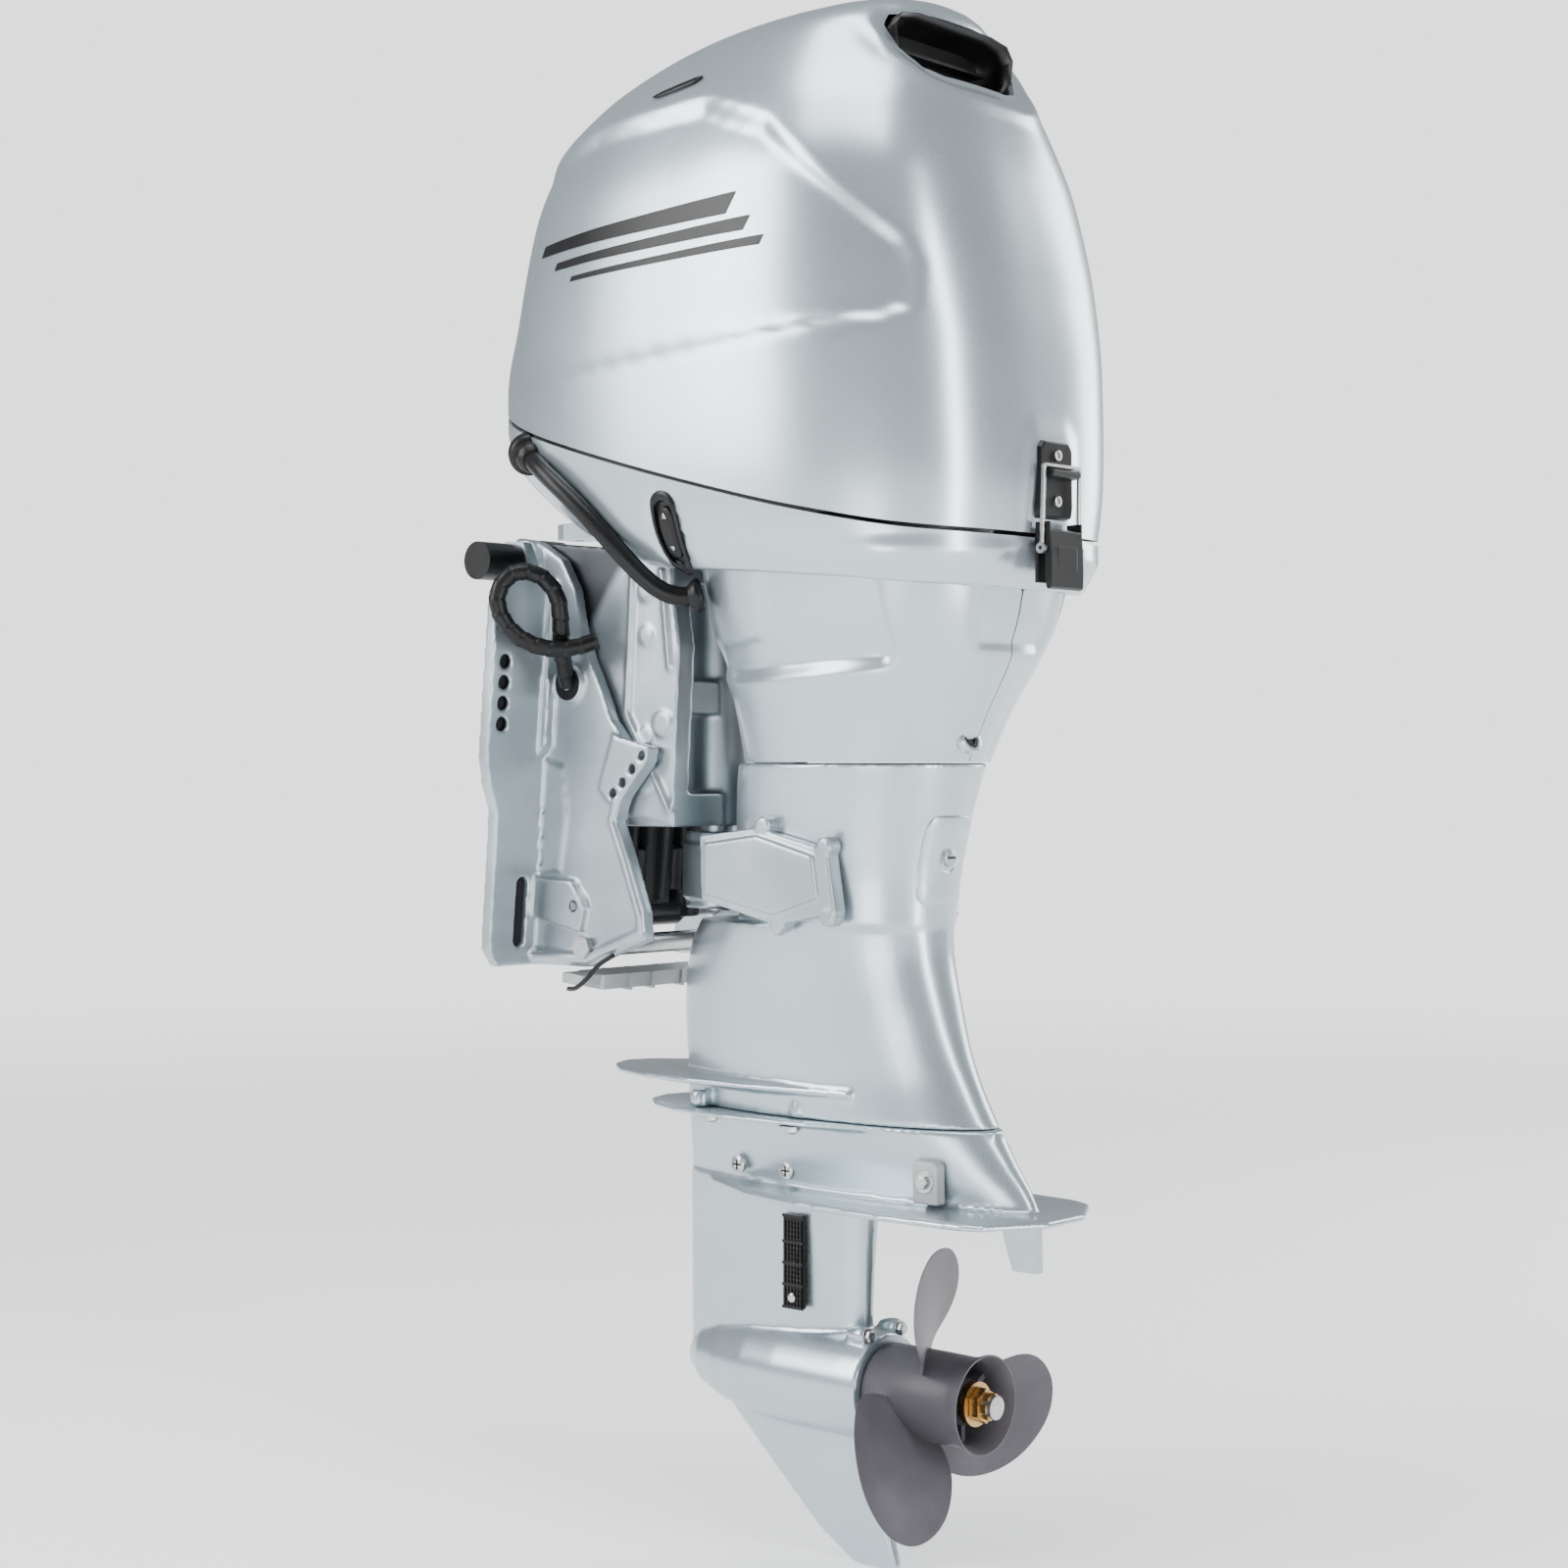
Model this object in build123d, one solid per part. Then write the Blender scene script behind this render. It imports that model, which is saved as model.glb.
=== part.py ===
from build123d import *
import os
from math import atan2, cos, degrees, hypot, pi, radians, sin, tan

# Outboard motor, long shaft. Millimetres, +X aft, +Y starboard, +Z up.
# The origin is the centre of the upper transom bolts, on the face that rests on the transom.

# Transom clamp
transom_lean = 5.3            # the transom leans aft at its top, in degrees
web_outer = 105.0             # outer face of each bracket's side web, from the centreline
web_thick = 12.0
flange_thick = 12.0
flange_edge_upper = 180.0     # outer edge of the flange beside the bolt holes
flange_edge_lower = 150.0     # and beside the slots
bolt_span = 327.0             # port row to starboard row
bolt_pitch = 19.0
bolt_rows = 4
bolt_hole_r = 6.5
slot_span = 250.8
slot_length = 65.0
slot_height = -202.0
tilt_u, tilt_s = -33.0, 118.0  # tilt tube axis in the bracket's own plane
tilt_tube_r = 15.0
running_gap = 0.05

# Steering and drive lines
steer_x = 125.0
shaft_r = 17.0
crank_x = 222.0
prop_z = -610.0
prop_r = 136.0
hub_r = 39.0
hub_front, hub_rear = 328.0, 434.0
blade_phase = -20.0
cam_x = 400.0

# Levels of the leg
seam_z = -64.0                # under cover to leg
case_z = -375.0               # leg to gearcase
plate_z = -441.0              # top of the anti-ventilation plate
cowl_wall = 4.0
case_wall = 6.0

# Oval sections of the shells: level, foremost x, aftmost x, half width, squareness
cowl_sections = [
    (90, -30, 492, 172, 3.0), (180, -54, 501, 181, 3.0), (270, -56, 498, 185, 3.0),
    (340, -38, 488, 187, 3.0), (420, -20, 469, 181, 3.0), (480, 0, 449, 164, 2.9),
    (520, 42, 433, 144, 2.8), (550, 108, 423, 124, 2.8), (568, 170, 415, 106, 2.7),
    (580, 245, 404, 82, 2.5), (587, 310, 388, 48, 2.2)]
tray_sections = [
    (72, 196, 474, 139, 2.7), (92, 158, 486, 149, 2.8), (112, 112, 495, 159, 2.9),
    (140, 48, 500, 169, 3.0), (175, -6, 501, 177, 3.0), (205, -40, 500, 181, 3.0),
    (240, -56, 499, 184, 3.0), (300, -50, 494, 186, 3.0)]
cover_sections = [
    (112, 164, 483, 141, 2.6), (60, 168, 474, 127, 2.5), (20, 172, 459, 112, 2.4),
    (-20, 180, 437, 98, 2.3), (seam_z, 190, 416, 88, 2.3)]
leg_sections = [
    (seam_z - 0.6, 178, 415, 86, 2.2), (-100, 172, 406, 79, 2.2), (-140, 170, 395, 73, 2.2),
    (-170, 170, 390, 69, 2.2), (-206, 170, 388, 67, 2.2)]
lower_leg_sections = [
    (-206, 122, 388, 67, 2.2), (-230, 107, 390, 65, 2.2), (-270, 98, 399, 62, 2.2),
    (-310, 96, 411, 60, 2.1), (-345, 96, 427, 58, 2.0), (case_z + 0.4, 96, 444, 57, 2.0)]
gearcase_sections = [
    (case_z, 96, 446, 56, 2.0), (-400, 96, 462, 49, 2.0), (-425, 96, 480, 40, 2.0),
    (-448, 96, 492, 33, 2.0)]
strut_sections = [
    (-440, 95, 316, 31, 2.0), (-500, 95, 311, 28, 2.0), (-560, 95, 308, 27, 2.0),
    (prop_z, 96, 306, 28, 2.0)]
torpedo_profile = [(96, 4), (104, 17), (122, 29), (150, 39), (190, 46), (230, 48), (327, 47)]

section_points = 12
seam_curve = [(-75, 281), (25, 238), (122, 208), (257, 171), (368, 144), (466, 126), (540, 121)]
seam_half_gap = 1.9
step_front, step_rear = (-110, 131), (560, 74)   # the line under the tray where it meets the covers

tilt_x = tilt_u * cos(radians(transom_lean)) + tilt_s * sin(radians(transom_lean))
tilt_z = -tilt_u * sin(radians(transom_lean)) + tilt_s * cos(radians(transom_lean))


def oval_point(section, turn):
    level, front, rear, half, square = section
    power = 2.0 / square
    c, s = cos(turn), sin(turn)
    x = (front + rear) / 2 + (rear - front) / 2 * (abs(c) ** power) * (1 if c >= 0 else -1)
    y = half * (abs(s) ** power) * (1 if s >= 0 else -1)
    return (x, y, level)


def oval_face(section):
    points = [oval_point(section, 2 * pi * i / section_points) for i in range(section_points)]
    return make_face(Spline(*points, periodic=True))


def oval_outline(section):
    points = [oval_point(section, 2 * pi * i / 24) for i in range(24)]
    return make_face(Polyline(*points, close=True))


def shell_body(sections):
    return loft([oval_face(section) for section in sections])


def shrunk(sections, wall, crown=0.0):
    """The same sections moved in by a wall, with the crown lowered by the wall too."""
    inner = []
    for level, front, rear, half, square in sections:
        drop = crown if level > 450 else 0.0
        inner.append((level - drop, front + wall, rear - wall, half - wall, square))
    return inner


def block(x0, x1, y0, y1, z0, z1, radius=0.0):
    body = Pos((x0 + x1) / 2, (y0 + y1) / 2, (z0 + z1) / 2) * Box(x1 - x0, y1 - y0, z1 - z0)
    return fillet(body.edges().filter_by(Axis.Z), radius) if radius else body


def rod_z(x, y, z0, z1, radius):
    return Pos(x, y, (z0 + z1) / 2) * Cylinder(radius, z1 - z0)


def rod_y(x, z, y0, y1, radius):
    return Pos(x, (y0 + y1) / 2, z) * Rot(90, 0, 0) * Cylinder(radius, y1 - y0)


def rod_x(y, z, x0, x1, radius):
    return Pos((x0 + x1) / 2, y, z) * Rot(0, 90, 0) * Cylinder(radius, x1 - x0)


def side_plate(points, y0, y1):
    """A plate with an outline in x and z, between two values of y."""
    face = make_face(Polyline(*[(x, y0, z) for x, z in points], close=True))
    return extrude(face, amount=y1 - y0, dir=(0, 1, 0))


def flat_plate(points, z0, z1):
    face = make_face(Polyline(*[(x, y, z0) for x, y in points], close=True))
    return extrude(face, amount=z1 - z0, dir=(0, 0, 1))


def mirrored(body):
    return mirror(body, about=Plane.XZ)


def lean(body):
    """Turn a body built on an upright transom face onto the leaning one."""
    return Rot(0, transom_lean, 0) * body


def above_seam(shift):
    """Everything above the cowl seam, moved up or down."""
    points = [(x, 0, z + shift) for x, z in seam_curve]
    edge = Spline(*points)
    top = Polyline(points[-1], (560, 0, points[-1][2]), (560, 0, 640), (-100, 0, 640),
                   (-100, 0, points[0][2]), points[0])
    return extrude(make_face(edge + top), amount=220, dir=(0, 1, 0), both=True)


def under_step(shift):
    """Everything below the sloping joint between the tray and the under covers."""
    (x0, z0), (x1, z1) = step_front, step_rear
    return side_plate([(x0, z0 + shift), (x1, z1 + shift), (x1, -100), (x0, -100)], -220, 220)


def tube_path(points, radius):
    """Straight runs joined by tangent arcs, each arc as large as its runs allow."""
    corners = []
    for before, at, after in zip(points, points[1:], points[2:]):
        first = Vector(*at) - Vector(*before)
        second = Vector(*after) - Vector(*at)
        half_turn = radians(first.get_angle(second)) / 2
        corners.append(0.45 * min(first.length, second.length) / tan(half_turn))
    print("tube radii", [round(c, 1) for c in corners])
    path = FilletPolyline(*points, radius=corners)
    end = Vector(*points[1]) - Vector(*points[0])
    body = sweep(Plane(origin=points[0], z_dir=end) * Circle(radius), path=path)
    print("tube volume", round(body.volume), "section times length", round(pi * radius ** 2 * path.length))
    return body


# ---------------------------------------------------------------- transom clamp
web_outline = [
    (0, -252), (0, 88), (-50, 90), (-58, 104), (-56, 134), (-46, 142), (-18, 139), (14, 124), (34, 98),
    (45, 63), (58, 37), (80, 4), (92, -18), (111, -34), (144, -37), (142, -52), (114, -88), (109, -108),
    (128, -142), (150, -186), (154, -210), (83, -244), (7, -252)]
trim_holes = [(136, -46), (125, -59), (114, -72), (103, -83)]
harness_hole = (37, 11)
cross_bolt_at = (80, -226)
trim_low_at = (50, -200)
trim_pin_r = 8.0


def clamp_bracket():
    web = side_plate(web_outline, -web_outer, -web_outer + web_thick)
    flange_points = [(-web_outer + web_thick, -252), (-web_outer + web_thick, 100), (-160, 112),
                     (-flange_edge_upper, 92), (-flange_edge_upper, -60), (-flange_edge_upper + 6, -86),
                     (-flange_edge_lower - 14, -108), (-flange_edge_lower - 12, -236),
                     (-flange_edge_lower, -252)]
    face = make_face(Polyline(*[(0, y, s) for y, s in flange_points], close=True))
    flange = extrude(face, amount=flange_thick, dir=(1, 0, 0))
    boss = rod_y(tilt_u, tilt_s, -web_outer - 6, -web_outer + web_thick, 23)
    pad = side_plate([(98, -30), (144, -37), (142, -52), (114, -88), (104, -96), (84, -80)],
                     -web_outer - 4, -web_outer + 1)
    rib = side_plate([(10, 96), (17, 90), (20, -46), (10, -60)], -web_outer - 12, -web_outer + 1)
    foot = side_plate([(8, -170), (60, -168), (80, -190), (76, -212), (8, -206)],
                      -web_outer - 7, -web_outer + 1)
    body = web + flange + boss + pad + rib + foot
    body -= rod_y(tilt_u, tilt_s, -web_outer - 20, 0, tilt_tube_r + running_gap)
    for row in range(bolt_rows):
        s = (row - (bolt_rows - 1) / 2) * bolt_pitch
        body -= rod_x(-bolt_span / 2, s, -5, flange_thick + 5, bolt_hole_r)
    half_run = slot_length / 2 - bolt_hole_r
    for end in (-half_run, half_run):
        body -= rod_x(-slot_span / 2, slot_height + end, -5, flange_thick + 5, bolt_hole_r)
    body -= block(-5, flange_thick + 5, -slot_span / 2 - bolt_hole_r, -slot_span / 2 + bolt_hole_r,
                  slot_height - half_run, slot_height + half_run)
    for u, s in trim_holes:
        body -= rod_y(u, s, -web_outer - 20, 0, 4.5)
    body -= rod_y(*harness_hole, -web_outer - 40, 0, 12)
    body -= rod_y(*cross_bolt_at, -web_outer - 20, 0, 6.1)
    body -= rod_y(*trim_low_at, -web_outer - 1, 0, trim_pin_r + running_gap)
    return body


def tilt_tube():
    body = rod_y(tilt_u, tilt_s, -128, 128, tilt_tube_r) - rod_y(tilt_u, tilt_s, -130, 130, 8.0)
    return lean(body)


def tilt_tube_nuts():
    nuts = []
    for side in (-1, 1):
        y = side * (web_outer + 6.2 + 5)
        hexagon = Pos(tilt_u, y, tilt_s) * Rot(90, 0, 0) * extrude(RegularPolygon(23, 6), 5, both=True)
        nuts.append(lean(hexagon - rod_y(tilt_u, tilt_s, y - 8, y + 8, tilt_tube_r + 0.02)))
    return nuts


def tilt_tube_cap():
    cap = rod_y(tilt_u, tilt_s, -166, -122, 17.5)
    cap -= rod_y(tilt_u, tilt_s, -150, -120, tilt_tube_r + 0.1)
    return lean(cap)


def lower_cross_bolt():
    reach = web_outer + 0.2
    head = Pos(cross_bolt_at[0], -reach - 4, cross_bolt_at[1]) * Rot(90, 0, 0)
    body = rod_y(*cross_bolt_at, -reach - 6, reach + 14, 6.0)
    body += head * extrude(RegularPolygon(11, 6), 4, both=True)
    body += Pos(0, 2 * reach + 8, 0) * head * extrude(RegularPolygon(11, 6), 4, both=True)
    body += rod_y(*cross_bolt_at, -web_outer + web_thick + 0.3, web_outer - web_thick - 0.3, 9.5)
    return lean(body)


def clamp_anode():
    bar = block(50, 84, -86, 86, -266, -252.6, 3)
    for side in (-1, 1):
        bar += block(54, 80, side * 96 - 12, side * 96 + 12, -262, -252.6)
        for y in (20, 50):
            bar += block(48, 86, side * y - 2, side * y + 2, -268, -252.6)
    return lean(bar)


harness_route = [
    (38, -108, 8), (43, -119, 22), (50, -129, 42), (57, -136, 66), (58, -141, 88), (48, -153, 104),
    (35, -171, 108), (25, -184, 98), (22, -189, 80), (27, -181, 61), (38, -167, 46), (51, -150, 38),
    (67, -129, 38), (80, -113, 46)]


def trim_harness():
    return tube_path(harness_route, 5.5)


def harness_grommet():
    ring = rod_y(*harness_hole, -web_outer - 5, -web_outer + web_thick - 1, 11.6)
    ring += rod_y(*harness_hole, -web_outer - 5, -web_outer - 0.3, 15)
    grommet = lean(ring)
    return grommet - trim_harness_clearance()


def trim_harness_clearance():
    start, following = Vector(*harness_route[0]), Vector(*harness_route[1])
    along = following - start
    hole = Plane(origin=start - along, z_dir=along) * Cylinder(5.6, 4 * along.length)
    return hole


bonding_route = [(34, -104, -272), (48, -109, -271), (64, -111, -262), (80, -111, -247), (96, -108, -238)]


def bonding_wire():
    return tube_path(bonding_route, 2.2)


# ---------------------------------------------------------------- swivel bracket and trim
def swivel_bracket():
    tube = rod_z(steer_x, 0, -122, 146, 34)
    arms = []
    for side in (-1, 1):
        y0, y1 = sorted((side * 68, side * 90))
        arms.append(side_plate([(tilt_x - 23, tilt_z), (tilt_x - 12, tilt_z - 21), (28, 20), (84, -40),
                                (96, -112), (150, -118), (160, 40), (146, 124), (tilt_x + 12, tilt_z + 20),
                                (tilt_x - 12, tilt_z + 20)], y0, y1))
    body = tube + arms[0] + arms[1]
    body += block(60, 152, -88, 88, 96, 124)
    body += block(92, 152, -88, 88, -122, -92)
    body += block(104, 150, -88, 88, -20, 10)
    body += rod_y(tilt_x, tilt_z, -90, -60, 23) + rod_y(tilt_x, tilt_z, 60, 90, 23)
    body += rod_y(120, -40, -91.5, -86, 8) + rod_y(120, 50, -91.5, -86, 8)
    body -= rod_z(steer_x, 0, -130, 150, shaft_r + 2.5)
    body -= rod_y(tilt_x, tilt_z, -100, 100, tilt_tube_r + running_gap)
    body -= block(-60, 86, -64, 64, -130, 96)
    body -= rod_y(trim_top_x, trim_top_z, -91, 91, upper_pin_r + 0.02)
    return body


def steering_bushes():
    rings = []
    for z0, z1 in ((-122, -82), (106, 146)):
        rings.append(rod_z(steer_x, 0, z0, z1, shaft_r + 2.5) - rod_z(steer_x, 0, z0 - 1, z1 + 1,
                                                                    shaft_r + running_gap))
    return rings


trim_top_x, trim_top_z = 50.0, 40.0
trim_eye_r = 20.6             # the ram's eye is open enough for the swing that its line leaves out
trim_low_x = trim_low_at[0] * cos(radians(transom_lean)) + trim_low_at[1] * sin(radians(transom_lean))
trim_low_z = -trim_low_at[0] * sin(radians(transom_lean)) + trim_low_at[1] * cos(radians(transom_lean))
upper_pin_r = 6.0
trim_run = hypot(trim_top_x - trim_low_x, trim_top_z - trim_low_z)
trim_lean = degrees(atan2(trim_top_x - trim_low_x, trim_top_z - trim_low_z))


def on_trim_axis(body):
    """Put a body built along +Z from its lower pin onto the trim cylinder's line."""
    return Pos(trim_low_x, 0, trim_low_z) * Rot(0, trim_lean, 0) * body


def trim_cylinder():
    body = rod_z(0, 0, 10, 166, 22) + rod_z(0, 0, 166, 174, 16)
    body += rod_y(0, 0, -40, 40, 15)
    body += rod_z(4, -46, -6, 118, 19) + block(-10, 14, -50, -20, 20, 60) + block(-10, 14, -50, -20, 84, 108)
    body += rod_z(4, 45, -6, 96, 17) + block(-10, 14, 20, 48, 20, 60)
    body -= rod_z(0, 0, 14, 180, 10.08)
    body -= rod_y(0, 0, -70, 70, trim_pin_r + running_gap)
    return on_trim_axis(body)


def trim_rod():
    body = rod_z(0, 0, 26, trim_run - trim_eye_r, 10)
    body += rod_y(0, trim_run, -14, 14, trim_eye_r + 5)
    body -= rod_y(0, trim_run, -20, 20, trim_eye_r)
    return on_trim_axis(body)


def trim_lower_pin():
    body = rod_y(*trim_low_at, -web_outer + 1, web_outer - 1, trim_pin_r)
    return lean(body)


def trim_upper_pin():
    return rod_y(trim_top_x, trim_top_z, -86, 86, upper_pin_r)


# ---------------------------------------------------------------- steering frame and mounts
upper_mount_y, upper_mount_z = 45.0, 158.0
lower_mount_y, lower_mount_z = 77.2, -163.0


def steering_frame():
    arm = flat_plate([(-74, -14), (-74, 14), (-60, 20), (70, 26), (112, 44), (150, 58), (196, 60),
                      (196, -60), (150, -58), (112, -44), (70, -26), (-60, -20)], 151, 166)
    arm -= rod_z(-58, 0, 140, 170, 4.8) + rod_z(steer_x, 0, 140, 170, shaft_r)
    for side in (-1, 1):
        arm += rod_x(side * upper_mount_y, upper_mount_z, 190, 272, 6)
    return [rod_z(steer_x, 0, -200, 166, shaft_r), arm]


def rubber_mounts():
    parts = []
    for side in (-1, 1):
        upper = rod_x(side * upper_mount_y, upper_mount_z, 222, 266, 14)
        parts.append(upper - rod_x(side * upper_mount_y, upper_mount_z, 220, 270, 6.03))
        lower = rod_x(side * lower_mount_y, lower_mount_z, 222, 276, 6.4)
        parts.append(lower - rod_x(side * lower_mount_y, lower_mount_z, 220, 286, 4.03))
    return parts


def lower_yoke():
    half = [(95, 14), (104, 26), (150, 56), (192, 83.4), (204, 83.4), (204, 71), (164, 46), (158, 0)]
    outline = half + [(x, -y) for x, y in reversed(half[:-1])]
    body = flat_plate(outline, -188, -138)
    body += rod_z(steer_x, 0, -198, -128, 30)
    body -= rod_z(steer_x, 0, -202, -120, shaft_r + 0.03)
    for side in (-1, 1):
        body += rod_x(side * lower_mount_y, lower_mount_z, 202, 276, 4)
    return body


cover_outline = [(182, -129), (250, -121), (330, -139), (339, -192), (273, -205), (184, -186)]
cover_y0, cover_y1 = 70.6, 87.0


def mount_cover():
    outer = side_plate(cover_outline, -cover_y1, -cover_y0)
    inner = side_plate([(176, -146), (252, -128), (323, -145), (331, -187), (272, -198), (176, -182)],
                       -cover_y1 + 3.2, -cover_y0 + 2)
    body = outer - inner - grown_leg(0.2)
    return body - flat_plate([(170, -84), (206, -84), (206, -60), (170, -60)], -190.5, -134)


def mount_cover_bolts():
    bolts = []
    for side in (-1, 1):
        for x, z in ((256, -117.5), (328, -134), (272, -209), (334, -198)):
            head = Pos(x, side * (cover_y1 - 5), z) * Rot(90, 0, 0) * extrude(RegularPolygon(5.5, 6), 4,
                                                                             both=True)
            rim = side_plate(cover_outline, *sorted((side * cover_y0, side * cover_y1)))
            bolts.append(head - rim - grown_leg(0.2))
    return bolts


# ---------------------------------------------------------------- cowls and covers
def top_cowl():
    outer = shell_body(cowl_sections)
    inner = shell_body(shrunk(cowl_sections, cowl_wall, cowl_wall))
    body = (outer - inner) & above_seam(seam_half_gap)
    mouth = block(398, 470, -86, 86, 512, 566)
    body -= fillet(mouth.edges().filter_by(Axis.X), 22)
    return body


def intake_duct():
    """A tray behind the air intake, inside the cowl."""
    outer = fillet(block(368, 392, -74, 74, 514, 556).edges().filter_by(Axis.X), 18)
    inner = fillet(block(371, 400, -71, 71, 517, 553).edges().filter_by(Axis.X), 15)
    return outer - inner


def tunnel(margin):
    """The room that the steering frame and swivel bracket take under the tray."""
    aft_end = 200 + margin
    body = block(-110, aft_end, -82 - margin, 82 + margin, 40, 172 + margin)
    sweep_room = rod_z(steer_x, 0, 40, 149 + margin, 132 + margin)
    return body + (sweep_room & block(-110, aft_end, -200, 200, 30, 180))


def lower_cowl():
    outer = shell_body(tray_sections) - tunnel(0)
    inner = shell_body(shrunk(tray_sections, cowl_wall)) - tunnel(cowl_wall) - under_step(cowl_wall)
    pad = fillet(block(462, 501, -31, 31, 80, 122).edges().filter_by(Axis.Z), 6)
    body = outer - inner - above_seam(-seam_half_gap)
    body += pad - shell_body(shrunk(tray_sections, cowl_wall))
    body -= under_step(0)
    body -= block(204, 440, -76, 76, 60, 125)
    body -= block(150, 230, -66, 66, 140, 190)
    body -= block(207, 233, -190, -140, 107, 157)
    return body - hose_room()


def cowl_seal():
    outer = loft([oval_outline(section) for section in shrunk(tray_sections[3:], 1.2)], ruled=True)
    inner = loft([oval_outline(section) for section in shrunk(tray_sections[3:], 6.0)], ruled=True)
    return ((outer - inner) & above_seam(0.4 - seam_half_gap)) - above_seam(seam_half_gap - 0.4)


telltale_at = (-10, -45)


def under_cover(side):
    outer = shell_body(cover_sections)
    inner = shell_body(shrunk(cover_sections, cowl_wall))
    half = block(100, 520, min(side * 0.2, side * 200), max(side * 0.2, side * 200), -70, 120)
    shell = (outer - inner) & half & under_step(-0.6)
    shell -= block(150, 214, -78, 78, -70, 120)
    return shell - rod_x(*telltale_at, 400, 440, 5.05) if side < 0 else shell


def telltale_outlet():
    """The nozzle that the cooling water squirts from, in the port cover."""
    flange = rod_x(*telltale_at, 418, 429, 8) - shell_body(cover_sections)
    return flange + rod_x(*telltale_at, 404, 426, 5) - rod_x(*telltale_at, 400, 435, 3)


hose_route = [
    (42, -160, 213), (56, -170, 206), (82, -178, 190), (121, -172, 158), (151, -157, 121),
    (168, -144, 98), (182, -133, 84), (197, -121, 79), (209, -111, 82)]
hose_r = 8.5


def side_hose():
    return tube_path(hose_route, hose_r)


def hose_room():
    """The hole that the hose passes through, a little wider than the hose."""
    room = Pos(*hose_route[0]) * Sphere(hose_r + 1.5)
    for start, end in zip(hose_route, hose_route[1:]):
        way = Vector(*end) - Vector(*start)
        middle = Vector(*start) + way * 0.5
        room += Plane(origin=middle, z_dir=way) * Cylinder(hose_r + 1.5, way.length)
        room += Pos(*end) * Sphere(hose_r + 1.5)
    return room


def hose_grommets():
    boot_way = Vector(*hose_route[1]) - Vector(*hose_route[0])
    boot = Plane(origin=Vector(*hose_route[0]) + boot_way * 0.35, z_dir=boot_way) * Cylinder(19, 18)
    cut = Plane(origin=hose_route[0], z_dir=boot_way) * Cylinder(hose_r + 0.4, 80)
    end_way = Vector(*hose_route[-1]) - Vector(*hose_route[-2])
    disc = Plane(origin=Vector(*hose_route[-1]) - end_way * 0.1, z_dir=end_way) * Cylinder(15, 5)
    hole = Plane(origin=hose_route[-1], z_dir=end_way) * Cylinder(hose_r + 0.4, 60)
    skin = shell_body(tray_sections) + shell_body(cover_sections)
    return [boot - cut - skin, disc - hole - skin]


def latch_base():
    body = block(501.2, 504.4, -22, 22, 84, 121)
    for side in (-1, 1):
        y0, y1 = sorted((side * 21, side * 23.5))
        body += block(502.4, 517, y0, y1, 118, 134)
    return body - rod_y(latch_x, latch_z, -30, 30, 2.5 + running_gap)


latch_x, latch_z = 511.0, 126.0
bail_z = 112.0


def latch_lever():
    body = block(513, 519, -19, 19, 78, 128)
    body += rod_y(latch_x, latch_z, -19, 19, 5.5) + rod_y(latch_x, bail_z, -28.5, 28.5, 2)
    body += block(509, 515, -19, 19, 108, 122)
    return body + rod_y(latch_x, latch_z, -24, 24, 2.5)


def latch_bail():
    body = block(latch_x - 2, latch_x + 2, -28, -24, bail_z, 182) + block(latch_x - 2, latch_x + 2, 24, 28,
                                                                         bail_z, 182)
    body += block(latch_x, latch_x + 4, -28, 28, 178.4, 182.4)
    for side in (-1, 1):
        y0, y1 = sorted((side * 24, side * 28))
        body += rod_y(latch_x, bail_z, y0, y1, 4.5)
    return body - rod_y(latch_x, bail_z, -40, 40, 2 + running_gap)


def latch_catch():
    plate = fillet(block(498, 508, -21, 21, 138, 202).edges().filter_by(Axis.X), 5)
    hook = block(506, 519, -17, 17, 170, 177.5)
    return plate + hook - shell_body(cowl_sections)


def tilt_switch():
    rocker = fillet(block(210, 230, -172, -156, 110, 154).edges().filter_by(Axis.Y), 8)
    return rocker + rod_x(-164, 132, 208, 232, 2.5)


# ---------------------------------------------------------------- leg and gearcase
def mount_case():
    outer = [(seam_z + 0.3, 216, 398, 60, 2.4), (60, 212, 415, 66, 2.5), (184, 208, 430, 68, 2.6)]
    body = shell_body(outer) - shell_body([(z, f + 8, r - 8, h - 8, p) for z, f, r, h, p in outer])
    body += flat_plate([(204, -68), (436, -68), (436, 68), (204, 68)], 178, 186)
    body += block(208, 272, -64, -26, 138, 180) + block(208, 272, 26, 64, 138, 180)
    for side in (-1, 1):
        body -= rod_x(side * upper_mount_y, upper_mount_z, 190, 268, 14.05)
        body -= rod_x(side * upper_mount_y, upper_mount_z, 260, 280, 6.5)
    return body - rod_z(crank_x, 0, -80, 200, 13)


def extension_case():
    upper = shell_body(leg_sections)
    lower = shell_body(lower_leg_sections)
    splash = [(3, 0), (14, 24), (44, 48), (90, 66), (150, 74), (240, 72), (330, 58), (330, -58), (240, -72),
              (150, -74), (90, -66), (44, -48), (14, -24)]
    body = upper + lower + flat_plate(splash, -353, -347)
    body -= shell_body(shrunk(leg_sections, case_wall))
    body -= shell_body(shrunk(lower_leg_sections, case_wall))
    return body - rod_z(crank_x, 0, -380, -60, 12)


def grown_leg(gap):
    """The leg's upper body, a little larger all round."""
    return shell_body([(z, f - gap, r + gap, h + gap, p) for z, f, r, h, p in leg_sections])


def flush_cover():
    """The cover over the flushing plug, on the aft face of the leg."""
    plate = fillet(block(360, 420, -31, 31, -187, -110).edges().filter_by(Axis.X), 10) & grown_leg(2.2)
    plug = rod_x(0, -146, 380, 397, 9)
    return plate + plug - grown_leg(0)


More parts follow.
